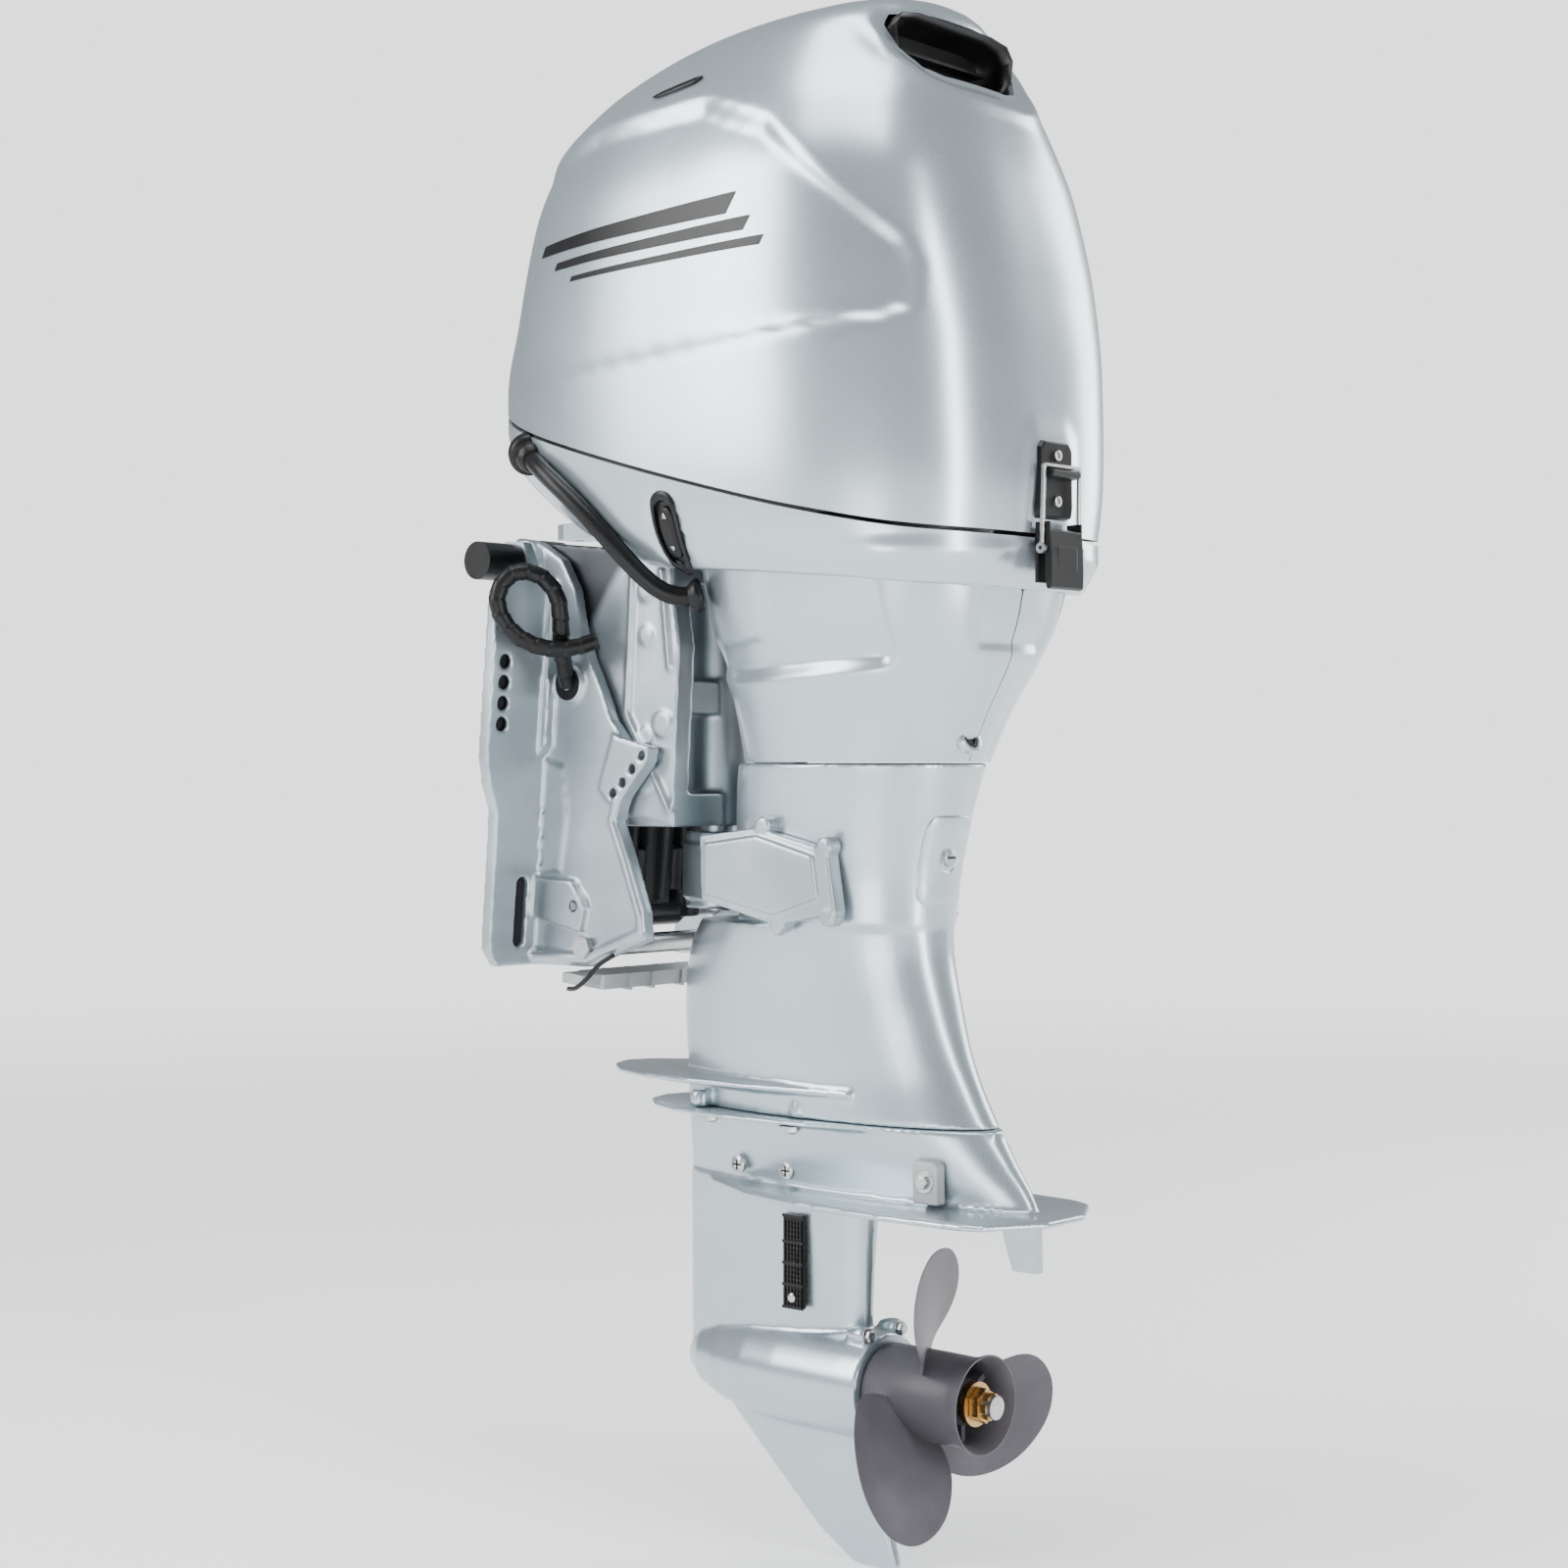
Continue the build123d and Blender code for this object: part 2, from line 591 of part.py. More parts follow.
def gearcase():
    rim = [(56, 0), (64, 26), (90, 50), (130, 66), (200, 75), (290, 70), (380, 42), (449, 8), (449, -8),
           (380, -42), (290, -70), (200, -75), (130, -66), (90, -50), (64, -26)]
    body = shell_body(gearcase_sections) + flat_plate(rim, case_z - 5, case_z)
    plate = [(112, 0), (144, 30), (220, 68), (293, 84), (390, 90), (470, 84), (488, 76), (518, 26),
             (518, -26), (488, -76), (470, -84), (390, -90), (293, -84), (220, -68), (144, -30)]
    body += flat_plate(plate, plate_z - 7, plate_z)
    body += shell_body(strut_sections)
    body += loft([Pos(x, 0, prop_z) * Rot(0, 90, 0) * Circle(radius) for x, radius in torpedo_profile])
    skeg = [(120, -622), (150, -655), (200, -700), (253, -746), (292, -769), (340, -768), (330, -735),
            (312, -690), (305, -640), (305, -610)]
    body += side_plate(skeg, -5, 5)
    body -= rod_x(0, prop_z, 150, 330, 40)
    body -= rod_z(crank_x, 0, prop_z, case_z + 10, 12)
    body -= rod_z(crank_x, 0, -420, case_z + 10, 36)
    body -= rod_z(crank_x, 0, prop_z, prop_z + 54, 16)
    body -= rod_z(150, 0, prop_z, case_z + 10, 6)
    return body


def trim_tab():
    fin = [(452, -448.4), (489, -448.4), (490, -491), (466, -491), (458, -470)]
    return side_plate(fin, -5, 5)


def intake_screens():
    screens = []
    for side in (-1, 1):
        y0, y1 = sorted((side * 28.5, side * 33))
        screens.append(block(234, 256, y0, y1, -546, -466) - shell_body(strut_sections))
    return screens


def case_anode():
    plate = block(392, 416, -45, -36, -437, -402) + rod_y(404, -418, -51, -40, 6)
    return plate - shell_body(gearcase_sections)


def oil_plugs():
    skin = shell_body(gearcase_sections)
    return [rod_y(x, -425, -46, -38, 7) - skin for x in (186, 244)]


def bearing_carrier():
    body = rod_x(0, prop_z, 276, 326, 39.6)
    return body - rod_x(0, prop_z, 270, 330, 15 + running_gap)


def water_pump():
    body = rod_z(crank_x, 0, -417, case_z + 6, 34) - rod_z(crank_x, 0, -420, case_z + 10, 10)
    return body


# ---------------------------------------------------------------- power head
def engine_block():
    body = block(158, 290, -78, 78, 188, 438, 12) + block(280, 386, -66, 66, 196, 430, 8)
    body += flat_plate([(204, -76), (386, -76), (386, 76), (204, 76)], 187, 200)
    for level in (230, 308, 386):
        body -= rod_x(0, level, crank_x, 400, 35)
    return body - rod_z(crank_x, 0, 180, 450, 46)


def cylinder_head():
    body = block(387, 446, -62, 62, 200, 430, 14)
    for level in range(220, 420, 26):
        body += block(444, 449, -50, 50, level, level + 8)
    return body - rod_z(cam_x, 0, 190, 450, 20)


def intake_silencer():
    body = block(110, 300, 96, 148, 240, 420, 20)
    for level in (262, 308, 354):
        body += block(296, 372, 104, 128, level, level + 28)
    return body - block(114, 296, 100, 144, 244, 416)


def starter_motor():
    body = rod_z(108, -96, 260, 420, 31) + rod_z(108, -96, 420, 446, 16) + rod_z(108, -96, 446, 458, 9)
    return body + rod_z(150, -120, 300, 400, 14)


def belt_loop(extra):
    """The outline of the timing belt round its two pulleys, grown by extra."""
    small, large = 22.4 + extra, 44.4 + extra
    run = cam_x - crank_x
    tip = (large - small) / run
    side = (1 - tip ** 2) ** 0.5
    band = [(crank_x - small * tip, small * side), (cam_x - large * tip, large * side),
            (cam_x - large * tip, -large * side), (crank_x - small * tip, -small * side)]
    body = flat_plate(band, 445, 455)
    return body + rod_z(crank_x, 0, 445, 455, small) + rod_z(cam_x, 0, 445, 455, large)


def timing_belt():
    return belt_loop(3.2) - belt_loop(0)


def crankshaft():
    body = rod_z(crank_x, 0, 189, 492, 15)
    for level in (230, 308, 386):
        body += rod_z(crank_x, 0, level - 28, level - 12, 42) + rod_z(crank_x, 0, level + 12, level + 28, 42)
        body += rod_z(crank_x + 14, 0, level - 12, level + 12, 20)
    return body + rod_z(crank_x, 0, 443, 457, 22)


def flywheel():
    body = rod_z(crank_x, 0, 460, 486, 122) - rod_z(crank_x, 0, 455, 478, 110)
    body -= rod_z(crank_x, 0, 450, 500, 15.02)
    for i in range(6):
        turn = radians(60 * i)
        body -= rod_z(crank_x + 70 * cos(turn), 70 * sin(turn), 470, 500, 16)
    return body


def camshaft():
    body = rod_z(cam_x, 0, 204, 444, 11) + rod_z(cam_x, 0, 444, 456, 44)
    for i, level in enumerate((230, 308, 386)):
        turn = radians(120 * i)
        body += rod_z(cam_x + 5 * cos(turn), 5 * sin(turn), level - 8, level + 8, 13)
    return body


# ---------------------------------------------------------------- gear train and propeller
gear_teeth, pinion_teeth = 23, 11
pinion_r, gear_r = 14.0, 29.3
tooth_deep = 1.2


def toothed_disc(radius, z0, z1, teeth, bore):
    body = rod_z(0, 0, z0, z1, radius)
    for i in range(teeth):
        turn = radians(360.0 * i / teeth)
        body -= rod_z(radius * cos(turn), radius * sin(turn), z0 - 1, z1 + 1, tooth_deep)
    return body - rod_z(0, 0, z0 - 30, z1 + 30, bore)


def drive_pinion():
    body = toothed_disc(pinion_r, 0, 12, pinion_teeth, 8.02) + (rod_z(0, 0, 10, 18, 11)
                                                               - rod_z(0, 0, 0, 30, 8.02))
    return Pos(crank_x, 0, prop_z + gear_r + 2.4) * body


def side_gear(way):
    body = toothed_disc(gear_r, 0, 12, gear_teeth, 12.05) + (rod_z(0, 0, 10, 22, 20)
                                                            - rod_z(0, 0, 0, 40, 12.05))
    return Pos(crank_x + way * 14.6, 0, prop_z) * Rot(0, 90 * way, 0) * body


def forward_gear():
    return side_gear(-1)


def reverse_gear():
    return side_gear(1)


def drive_shaft():
    body = rod_z(crank_x, 0, prop_z + gear_r + 2.4, 188.5, 8)
    return body + rod_z(crank_x, 0, -360, 150, 9.2)


def prop_shaft():
    body = rod_x(0, prop_z, 178, 330, 12) + rod_x(0, prop_z, 276, 326, 15)
    return body + rod_x(0, prop_z, 326, 446, 10)


def prop_nut():
    nut = Pos(426, 0, prop_z) * Rot(0, 90, 0) * extrude(RegularPolygon(15, 6), 9)
    nut += rod_x(0, prop_z, 435, 442, 11.5)
    for i in range(3):
        nut -= Pos(440, 0, prop_z) * Rot(60 * i, 0, 0) * Box(6, 4, 30)
    return [nut - rod_x(0, prop_z, 420, 450, 10.02),
            rod_x(0, prop_z, 419, 425.5, 19) - rod_x(0, prop_z, 415, 430, 10.05)]


def blade():
    """One blade standing on +Z before it is turned to its place."""
    outline = [(-26, 30), (-46, 60), (-54, 88), (-46, 116), (-22, 133), (4, prop_r), (30, 128), (48, 104),
               (50, 76), (36, 48), (24, 30)]
    face = make_face(Spline(*[(x, 0, z) for x, z in outline]) +
                     Polyline((24, 0, 30), (-26, 0, 30)))
    plate = extrude(face, amount=2.2, dir=(0, 1, 0), both=True)
    return Rot(0, 0, 29) * Rot(0, 0, 90) * plate


def propeller():
    hub = rod_x(0, 0, hub_front, hub_rear - 14, hub_r)
    hub += Pos(hub_rear - 7, 0, 0) * Rot(0, 90, 0) * Cone(hub_r, hub_r + 4, 14)
    hub -= rod_x(0, 0, hub_front - 1, hub_rear + 1, hub_r - 5)
    sleeve = rod_x(0, 0, hub_front + 2, 418, 20)
    for i in range(3):
        rib = block(hub_front + 2, 410, -3, 3, 16, hub_r - 3)
        sleeve += Rot(120 * i + 60, 0, 0) * rib
    body = hub + sleeve
    for i in range(3):
        body += Rot(-(blade_phase + 120 * i), 0, 0) * (Pos(376, 0, 0) * blade() - rod_x(0, 0, 300, 460,
                                                                                       hub_r - 2))
    body -= rod_x(0, 0, 300, 460, 10.03)
    return Pos(0, 0, prop_z) * body


port_bracket = lean(clamp_bracket())
port_mount_cover = mount_cover()
nodes = {
    "clamp_bracket_port": port_bracket,
    "clamp_bracket_starboard": mirrored(port_bracket),
    "tilt_tube": tilt_tube(),
    "tilt_tube_nuts": tilt_tube_nuts(),
    "tilt_tube_cap": tilt_tube_cap(),
    "lower_cross_bolt": lower_cross_bolt(),
    "clamp_anode": clamp_anode(),
    "trim_harness": trim_harness(),
    "harness_grommet": harness_grommet(),
    "bonding_wire": bonding_wire(),
    "trim_lower_pin": trim_lower_pin(),
    "swivel_bracket": swivel_bracket(),
    "steering_bushes": steering_bushes(),
    "trim_upper_pin": trim_upper_pin(),
    "trim_cylinder": trim_cylinder(),
    "trim_rod": trim_rod(),
    "steering_frame": steering_frame(),
    "rubber_mounts": rubber_mounts(),
    "lower_yoke": lower_yoke(),
    "mount_cover_port": port_mount_cover,
    "mount_cover_starboard": mirrored(port_mount_cover),
    "mount_cover_bolts": mount_cover_bolts(),
    "mount_case": mount_case(),
    "under_cover_port": under_cover(-1),
    "under_cover_starboard": under_cover(1),
    "lower_cowl": lower_cowl(),
    "cowl_seal": cowl_seal(),
    "side_hose": side_hose(),
    "cover_grommets": hose_grommets() + [telltale_outlet()],
    "latch_base": latch_base(),
    "latch_lever": latch_lever(),
    "latch_bail": latch_bail(),
    "latch_catch": latch_catch(),
    "tilt_switch": tilt_switch(),
    "top_cowl": top_cowl(),
    "intake_duct": intake_duct(),
    "extension_case": extension_case(),
    "flush_cover": flush_cover(),
    "gearcase": gearcase(),
    "trim_tab": trim_tab(),
    "intake_screens": intake_screens(),
    "case_anode": case_anode(),
    "oil_plugs": oil_plugs(),
    "bearing_carrier": bearing_carrier(),
    "water_pump": water_pump(),
    "engine_block": engine_block(),
    "cylinder_head": cylinder_head(),
    "intake_silencer": intake_silencer(),
    "starter_motor": starter_motor(),
    "timing_belt": timing_belt(),
    "crankshaft": crankshaft(),
    "flywheel": flywheel(),
    "camshaft": camshaft(),
    "drive_shaft": drive_shaft(),
    "drive_pinion": drive_pinion(),
    "forward_gear": forward_gear(),
    "reverse_gear": reverse_gear(),
    "prop_shaft": prop_shaft(),
    "prop_nut": prop_nut(),
    "propeller": propeller(),
}

os.makedirs("parts", exist_ok=True)
for name, body in nodes.items():
    solids = body if isinstance(body, list) else [body]
    export_step(Compound(children=[s for item in solids for s in item.solids()]), f"parts/{name}.step")
print(len(nodes), "nodes")
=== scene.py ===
import math

import bmesh
import bpy
from mathutils import Matrix, Vector


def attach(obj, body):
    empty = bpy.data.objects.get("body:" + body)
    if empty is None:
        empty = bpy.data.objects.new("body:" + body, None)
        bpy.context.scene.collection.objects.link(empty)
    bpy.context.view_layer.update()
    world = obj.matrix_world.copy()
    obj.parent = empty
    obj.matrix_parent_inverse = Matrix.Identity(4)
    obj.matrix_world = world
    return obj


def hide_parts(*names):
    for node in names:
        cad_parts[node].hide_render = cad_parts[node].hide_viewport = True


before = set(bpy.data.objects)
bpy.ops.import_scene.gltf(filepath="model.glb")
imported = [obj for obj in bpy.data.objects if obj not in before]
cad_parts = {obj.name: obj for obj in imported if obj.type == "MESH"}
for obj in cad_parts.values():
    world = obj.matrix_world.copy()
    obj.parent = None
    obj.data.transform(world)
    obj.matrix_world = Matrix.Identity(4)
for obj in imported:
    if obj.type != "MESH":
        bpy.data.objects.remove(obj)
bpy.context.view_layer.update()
scene = bpy.context.scene
mm = 0.001
sideNames = {-1: "Port", 1: "Starboard"}
transomLean = math.radians(5.3)
print("frame loaded,", len(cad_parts), "nodes")

cameraSettings = {"place": (1.806, -1.815, -0.066), "azimuth": 41.4, "lens": 61.43, "shift": -0.0125}


def makeCamera(s):
    data = bpy.data.cameras.new("quarterCamera")
    data.lens = s["lens"]
    data.sensor_width = 36
    data.shift_y = s["shift"]
    camera = bpy.data.objects.new("quarterCamera", data)
    camera.location = s["place"]
    camera.rotation_euler = (math.radians(90), 0, math.radians(s["azimuth"]))
    scene.collection.objects.link(camera)
    scene.camera = camera


makeCamera(cameraSettings)


# shader maths

class Wire:  # a socket that takes part in ordinary sums
    def __init__(self, finish, socket):
        self.finish = finish
        self.socket = socket

    def maths(self, operation, *others):
        values = {i: v for i, v in enumerate((self,) + others)}
        return self.finish.node("ShaderNodeMath", {"operation": operation}, values)

    def __add__(self, other):
        return self.maths("ADD", other)

    def __sub__(self, other):
        return self.maths("SUBTRACT", other)

    def __mul__(self, other):
        return self.maths("MULTIPLY", other)

    def __rsub__(self, other):
        return self.finish.node("ShaderNodeMath", {"operation": "SUBTRACT"}, {0: other, 1: self})

    __radd__ = __add__
    __rmul__ = __mul__


class Finish:  # one material and the nodes that make it
    def __init__(self, name, metallic=0.0, roughness=0.5, coat=0.0, coatRoughness=0.1):
        self.material = bpy.data.materials.new(name)
        self.material.use_nodes = True
        self.tree = self.material.node_tree
        self.shader = self.tree.nodes["Principled BSDF"]
        self.set("Metallic", metallic)
        self.set("Roughness", roughness)
        self.set("Coat Weight", coat)
        self.set("Coat Roughness", coatRoughness)
        self.coords = self.node("ShaderNodeTexCoord", {}, {}, "Object")

    def fill(self, socket, value):
        if isinstance(value, Wire):
            self.tree.links.new(value.socket, socket)
        else:
            socket.default_value = value

    def set(self, name, value):
        self.fill(self.shader.inputs[name], value)

    def node(self, kind, settings, values, out=0):
        node = self.tree.nodes.new(kind)
        for key, value in settings.items():
            setattr(node, key, value)
        for key, value in values.items():
            self.fill(node.inputs[key], value)
        return Wire(self, node.outputs[out])

    def noise(self, scale, detail=2.0, vector=None):
        return self.node("ShaderNodeTexNoise", {}, {"Vector": vector or self.coords, "Scale": scale, "Detail": detail})

    def stretched(self, x, y, z):
        return self.node("ShaderNodeMapping", {}, {"Vector": self.coords, "Scale": (x, y, z)})

    def between(self, value, low, high):
        return self.node("ShaderNodeMapRange", {"interpolation_type": "SMOOTHSTEP"},
                         {"Value": value, "From Min": low, "From Max": high})

    def blend(self, mask, one, other):
        return self.node("ShaderNodeMix", {"data_type": "RGBA"}, {0: mask, 6: one, 7: other}, 2)

    def bump(self, height, strength, distance):
        normal = self.node("ShaderNodeBump", {}, {"Height": height, "Strength": strength, "Distance": distance})
        self.set("Normal", normal)


paintSettings = {"light": (0.47, 0.545, 0.58, 1), "dark": (0.39, 0.465, 0.505, 1), "metallic": 0.78,
                 "roughness": 0.29, "flake": 1900, "peel": 260, "coat": 0.4}


def silverPaint(s):
    f = Finish("silverPaint", metallic=s["metallic"], coatRoughness=0.14)
    flake = f.noise(s["flake"], 1.0)
    broad = f.noise(3.2, 3.0)
    f.set("Base Color", f.blend(f.between(broad * 0.75 + flake * 0.25, 0.30, 0.72), s["dark"], s["light"]))
    f.set("Roughness", s["roughness"] + (flake - 0.5) * 0.10 + (broad - 0.5) * 0.05)
    f.set("Coat Weight", s["coat"] + (broad - 0.5) * 0.1)
    f.bump(f.noise(s["peel"], 2.0) * 0.6 + flake * 0.25, 0.05, 0.0004)
    return f.material


castSettings = {"light": (0.45, 0.51, 0.54, 1), "dark": (0.30, 0.35, 0.38, 1), "grain": 900, "metallic": 0.82,
                "roughness": 0.34}


def casting(name, s):
    f = Finish(name, metallic=s["metallic"], coat=0.12, coatRoughness=0.3)
    grain = f.noise(s["grain"], 3.0)
    broad = f.noise(11, 4.0)
    colour = f.blend(f.between(broad, 0.3, 0.75), s["dark"], s["light"])
    f.set("Base Color", f.blend(grain * 0.35, colour, s["light"]))
    f.set("Roughness", s["roughness"] + (grain - 0.5) * 0.22 + (broad - 0.5) * 0.15)
    f.bump(grain + broad * 0.6, 0.22, 0.0007)
    return f.material


def moulded(name, colour, roughness, grain=1300, strength=0.25, coat=0.0):
    f = Finish(name, coat=coat)
    f.set("Specular IOR Level", 0.26)
    fine = f.noise(grain, 2.0)
    broad = f.noise(18, 3.0)
    paler = tuple(min(1.0, c * 1.6 + 0.003) for c in colour[:3]) + (1,)
    f.set("Base Color", f.blend(f.between(broad * 0.6 + fine * 0.4, 0.38, 0.85), colour, paler))
    f.set("Roughness", roughness + (fine - 0.5) * 0.16 + (broad - 0.5) * 0.12)
    f.bump(fine, strength, 0.0003)
    return f.material


def bareMetal(name, light, dark, roughness, brush=None, metallic=1.0):
    f = Finish(name, metallic=metallic)
    lines = f.noise(90, 3.0, f.stretched(*brush)) if brush else f.noise(420, 3.0)
    broad = f.noise(25, 3.0)
    f.set("Base Color", f.blend(f.between(lines * 0.5 + broad * 0.5, 0.3, 0.75), dark, light))
    f.set("Roughness", roughness + (lines - 0.5) * 0.2 + (broad - 0.5) * 0.12)
    f.bump(lines, 0.12, 0.0003)
    return f.material


def swivelSilverWithPaintedShade(s):  # silver below; up by the tilt tube the base colour turns near black, painted shade for the unlit head
    f = Finish("swivelCasting", metallic=0.85, coat=0.1, coatRoughness=0.3)
    grain = f.noise(s["grain"], 3.0)
    broad = f.noise(13, 4.0)
    places = f.node("ShaderNodeSeparateXYZ", {}, {0: f.coords}, 0)
    heights = f.node("ShaderNodeSeparateXYZ", {}, {0: f.coords}, 2)
    # painted shade: a mask over the head by the tilt tube, darkened as if it lay unlit
    paintedShadeHead = f.between(heights * 0.9 - places * 1.0 + broad * 0.02, 0.012, 0.030)
    silver = f.blend(f.between(broad, 0.3, 0.75), s["dark"], s["light"])
    # painted shade colour: near black over the head
    f.set("Base Color", f.blend(paintedShadeHead, silver, (0.055, 0.06, 0.068, 1)))
    f.set("Roughness", s["roughness"] + (grain - 0.5) * 0.22 + paintedShadeHead * 0.06)
    f.bump(grain + broad * 0.6, 0.22, 0.0007)
    return f.material


finishes = {
    "swivel_casting": swivelSilverWithPaintedShade(castSettings),
    "silver_paint": silverPaint(paintSettings),
    "satin_casting": casting("satinCasting", castSettings),
    "anode_alloy": casting("anodeAlloy", {"light": (0.46, 0.48, 0.49, 1), "dark": (0.27, 0.28, 0.29, 1),
                                          "grain": 600, "metallic": 0.6, "roughness": 0.55}),
    "raw_aluminium": casting("rawAluminium", {"light": (0.5, 0.5, 0.5, 1), "dark": (0.32, 0.32, 0.33, 1),
                                              "grain": 500, "metallic": 0.8, "roughness": 0.48}),
    "steel": bareMetal("boltSteel", (0.62, 0.62, 0.61, 1), (0.40, 0.40, 0.41, 1), 0.32, (1, 1, 6)),
    "chrome_rod": bareMetal("chromeRod", (0.80, 0.80, 0.81, 1), (0.65, 0.65, 0.67, 1), 0.12, (1, 1, 9)),
    "nut_brass": bareMetal("nutBrass", (0.66, 0.45, 0.20, 1), (0.36, 0.22, 0.09, 1), 0.30),
    "black_plastic": moulded("blackPlastic", (0.0022, 0.0022, 0.0026, 1), 0.34, coat=0.04),
    "black_rubber": moulded("blackRubber", (0.0020, 0.0020, 0.0024, 1), 0.38, grain=700, strength=0.3),
    "bush_plastic": moulded("bushPlastic", (0.30, 0.30, 0.28, 1), 0.42),
    "dark_enamel": moulded("darkEnamel", (0.009, 0.010, 0.012, 1), 0.38, grain=500, coat=0.1),
    "propeller_paint": moulded("propellerPaint", (0.070, 0.066, 0.076, 1), 0.40, grain=900, strength=0.12)}

nodeSlots = {
    "silver_paint": ["trim_tab"],
    "satin_casting": ["tilt_tube_nuts", "steering_frame", "bearing_carrier"],
    "steel": ["tilt_tube", "lower_cross_bolt", "trim_lower_pin", "trim_upper_pin", "mount_cover_bolts",
              "crankshaft", "flywheel", "camshaft", "drive_shaft", "drive_pinion", "forward_gear", "reverse_gear",
              "prop_shaft"],
    "anode_alloy": ["clamp_anode"],
    "raw_aluminium": ["mount_case", "engine_block", "cylinder_head", "water_pump"],
    "chrome_rod": ["trim_rod"],
    "nut_brass": ["prop_nut"],
    "black_plastic": ["tilt_tube_cap", "intake_silencer", "starter_motor",
                      "bonding_wire"],
    "black_rubber": ["cowl_seal", "rubber_mounts", "timing_belt", "harness_grommet"],
    "bush_plastic": ["steering_bushes"]}

for slotName, names in nodeSlots.items():
    for nodeName in names:
        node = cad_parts[nodeName]
        node.data.materials.clear()
        node.data.materials.append(finishes[slotName])
print("finishes made")


# shapes: lists of points in millimetres, with the faces between them

class Shape:
    def __init__(self, points=(), faces=()):
        self.points = [Vector(p) for p in points]
        self.faces = [tuple(f) for f in faces]

    def __add__(self, other):
        start = len(self.points)
        return Shape(self.points + other.points, self.faces + [tuple(i + start for i in f) for f in other.faces])

    def placed(self, matrix):
        return Shape([matrix @ p for p in self.points], self.faces)

    def mirrored(self):
        return Shape([(p.x, -p.y, p.z) for p in self.points], [tuple(reversed(f)) for f in self.faces])


def ringed(rings, closed=True, caps=True):
    count = len(rings[0])
    points = [p for ring in rings for p in ring]
    faces = []
    for i in range(len(rings) - 1):
        for j in range(count if closed else count - 1):
            a, b = i * count + j, i * count + (j + 1) % count
            faces.append((a, b, b + count, a + count))
    if caps:
        faces.append(tuple(reversed(range(count))))
        faces.append(tuple(range(len(points) - count, len(points))))
    return Shape(points, faces)


def prism(outline, low, high, axis="y", taper=0.0):
    def lift(point, level, grow):
        a, b = point
        centre = [sum(p[k] for p in outline) / len(outline) for k in (0, 1)]
        a, b = a + (centre[0] - a) * grow, b + (centre[1] - b) * grow
        return {"y": (a, level, b), "z": (a, b, level), "x": (level, a, b)}[axis]
    return ringed([[lift(p, low, 0) for p in outline], [lift(p, high, taper) for p in outline]])


def box(x0, x1, y0, y1, z0, z1):
    return prism([(x0, y0), (x1, y0), (x1, y1), (x0, y1)], z0, z1, "z")


def turned(profile, start, way, segments=40, caps=True):
    turn = Vector(way).to_track_quat("Z", "Y").to_matrix()
    rings = []
    for along, radius in profile:
        ring = [(radius * math.cos(a), radius * math.sin(a), along)
                for a in (2 * math.pi * i / segments for i in range(segments))]
        rings.append([turn @ Vector(p) + Vector(start) for p in ring])
    return ringed(rings, caps=caps)


def rod(start, end, radius, segments=36):
    way = Vector(end) - Vector(start)
    return turned([(0, radius), (way.length, radius)], start, way, segments)


def hexHead(start, way, across, high, washer=0.0):
    shape = turned([(0, across * 0.5774), (high * 0.8, across * 0.5774), (high, across * 0.48)], start, way, 6)
    return shape + turned([(0, washer), (1.4, washer)], start, way, 28) if washer else shape


def leaned(shape):
    return shape.placed(Matrix.Rotation(transomLean, 3, "Y"))


def meshObject(name, shape, merged=True):
    mesh = bpy.data.meshes.new(name)
    mesh.from_pydata([tuple(c * mm for c in p) for p in shape.points], [], shape.faces)
    obj = bpy.data.objects.new(name, mesh)
    scene.collection.objects.link(obj)
    tidy = bmesh.new()
    tidy.from_mesh(mesh)
    if merged:
        bmesh.ops.remove_doubles(tidy, verts=tidy.verts, dist=0.00001)
    bmesh.ops.recalc_face_normals(tidy, faces=tidy.faces)
    tidy.to_mesh(mesh)
    tidy.free()
    return obj


def stacked(obj, stack):
    for kind, settings in stack:
        modifier = obj.modifiers.new(kind.title(), kind)
        for key, value in settings.items():
            setattr(modifier, key, value)


def smoothed(obj, angle):
    mesh = obj.data
    mesh.polygons.foreach_set("use_smooth", [True] * len(mesh.polygons))
    mesh.set_sharp_from_angle(angle=math.radians(angle))


def piece(name, shape, finish, body, replaces=(), stack=()):
    obj = meshObject(name, shape)
    stacked(obj, stack)
    obj.data.materials.append(finishes[finish])
    smoothed(obj, 40)
    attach(obj, body)
    if replaces:
        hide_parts(*replaces)
    return obj


def bake(obj):
    bpy.context.view_layer.update()
    done = bpy.data.meshes.new_from_object(obj.evaluated_get(bpy.context.evaluated_depsgraph_get()))
    obj.modifiers.clear()
    obj.data = done


def cut(obj, shape):
    cutter = meshObject("cutter", shape, merged=False)
    modifier = obj.modifiers.new("Cut", "BOOLEAN")
    modifier.object = cutter
    modifier.operation = "DIFFERENCE"
    modifier.solver = "EXACT"
    bake(obj)
    bpy.data.objects.remove(cutter)


def cast(voxel, smoothing):
    return [("REMESH", {"mode": "VOXEL", "voxel_size": voxel * mm, "use_smooth_shade": True}),
            ("SMOOTH", {"factor": 0.5, "iterations": smoothing})]


def edged(width, segments=3):
    return [("BEVEL", {"width": width * mm, "segments": segments, "limit_method": "ANGLE",
                       "angle_limit": math.radians(35)}),
            ("WEIGHTED_NORMAL", {"keep_sharp": True})]


def shellWall(thickness):
    return [("SUBSURF", {"levels": 1, "render_levels": 1}),
            ("SOLIDIFY", {"thickness": thickness * mm, "offset": -1, "use_rim": True})]


def nodeShape(name):
    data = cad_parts[name].data
    return Shape([v.co * 1000 for v in data.vertices], [tuple(p.vertices) for p in data.polygons])


# oval shells: level, foremost x, aftmost x, half width, squareness

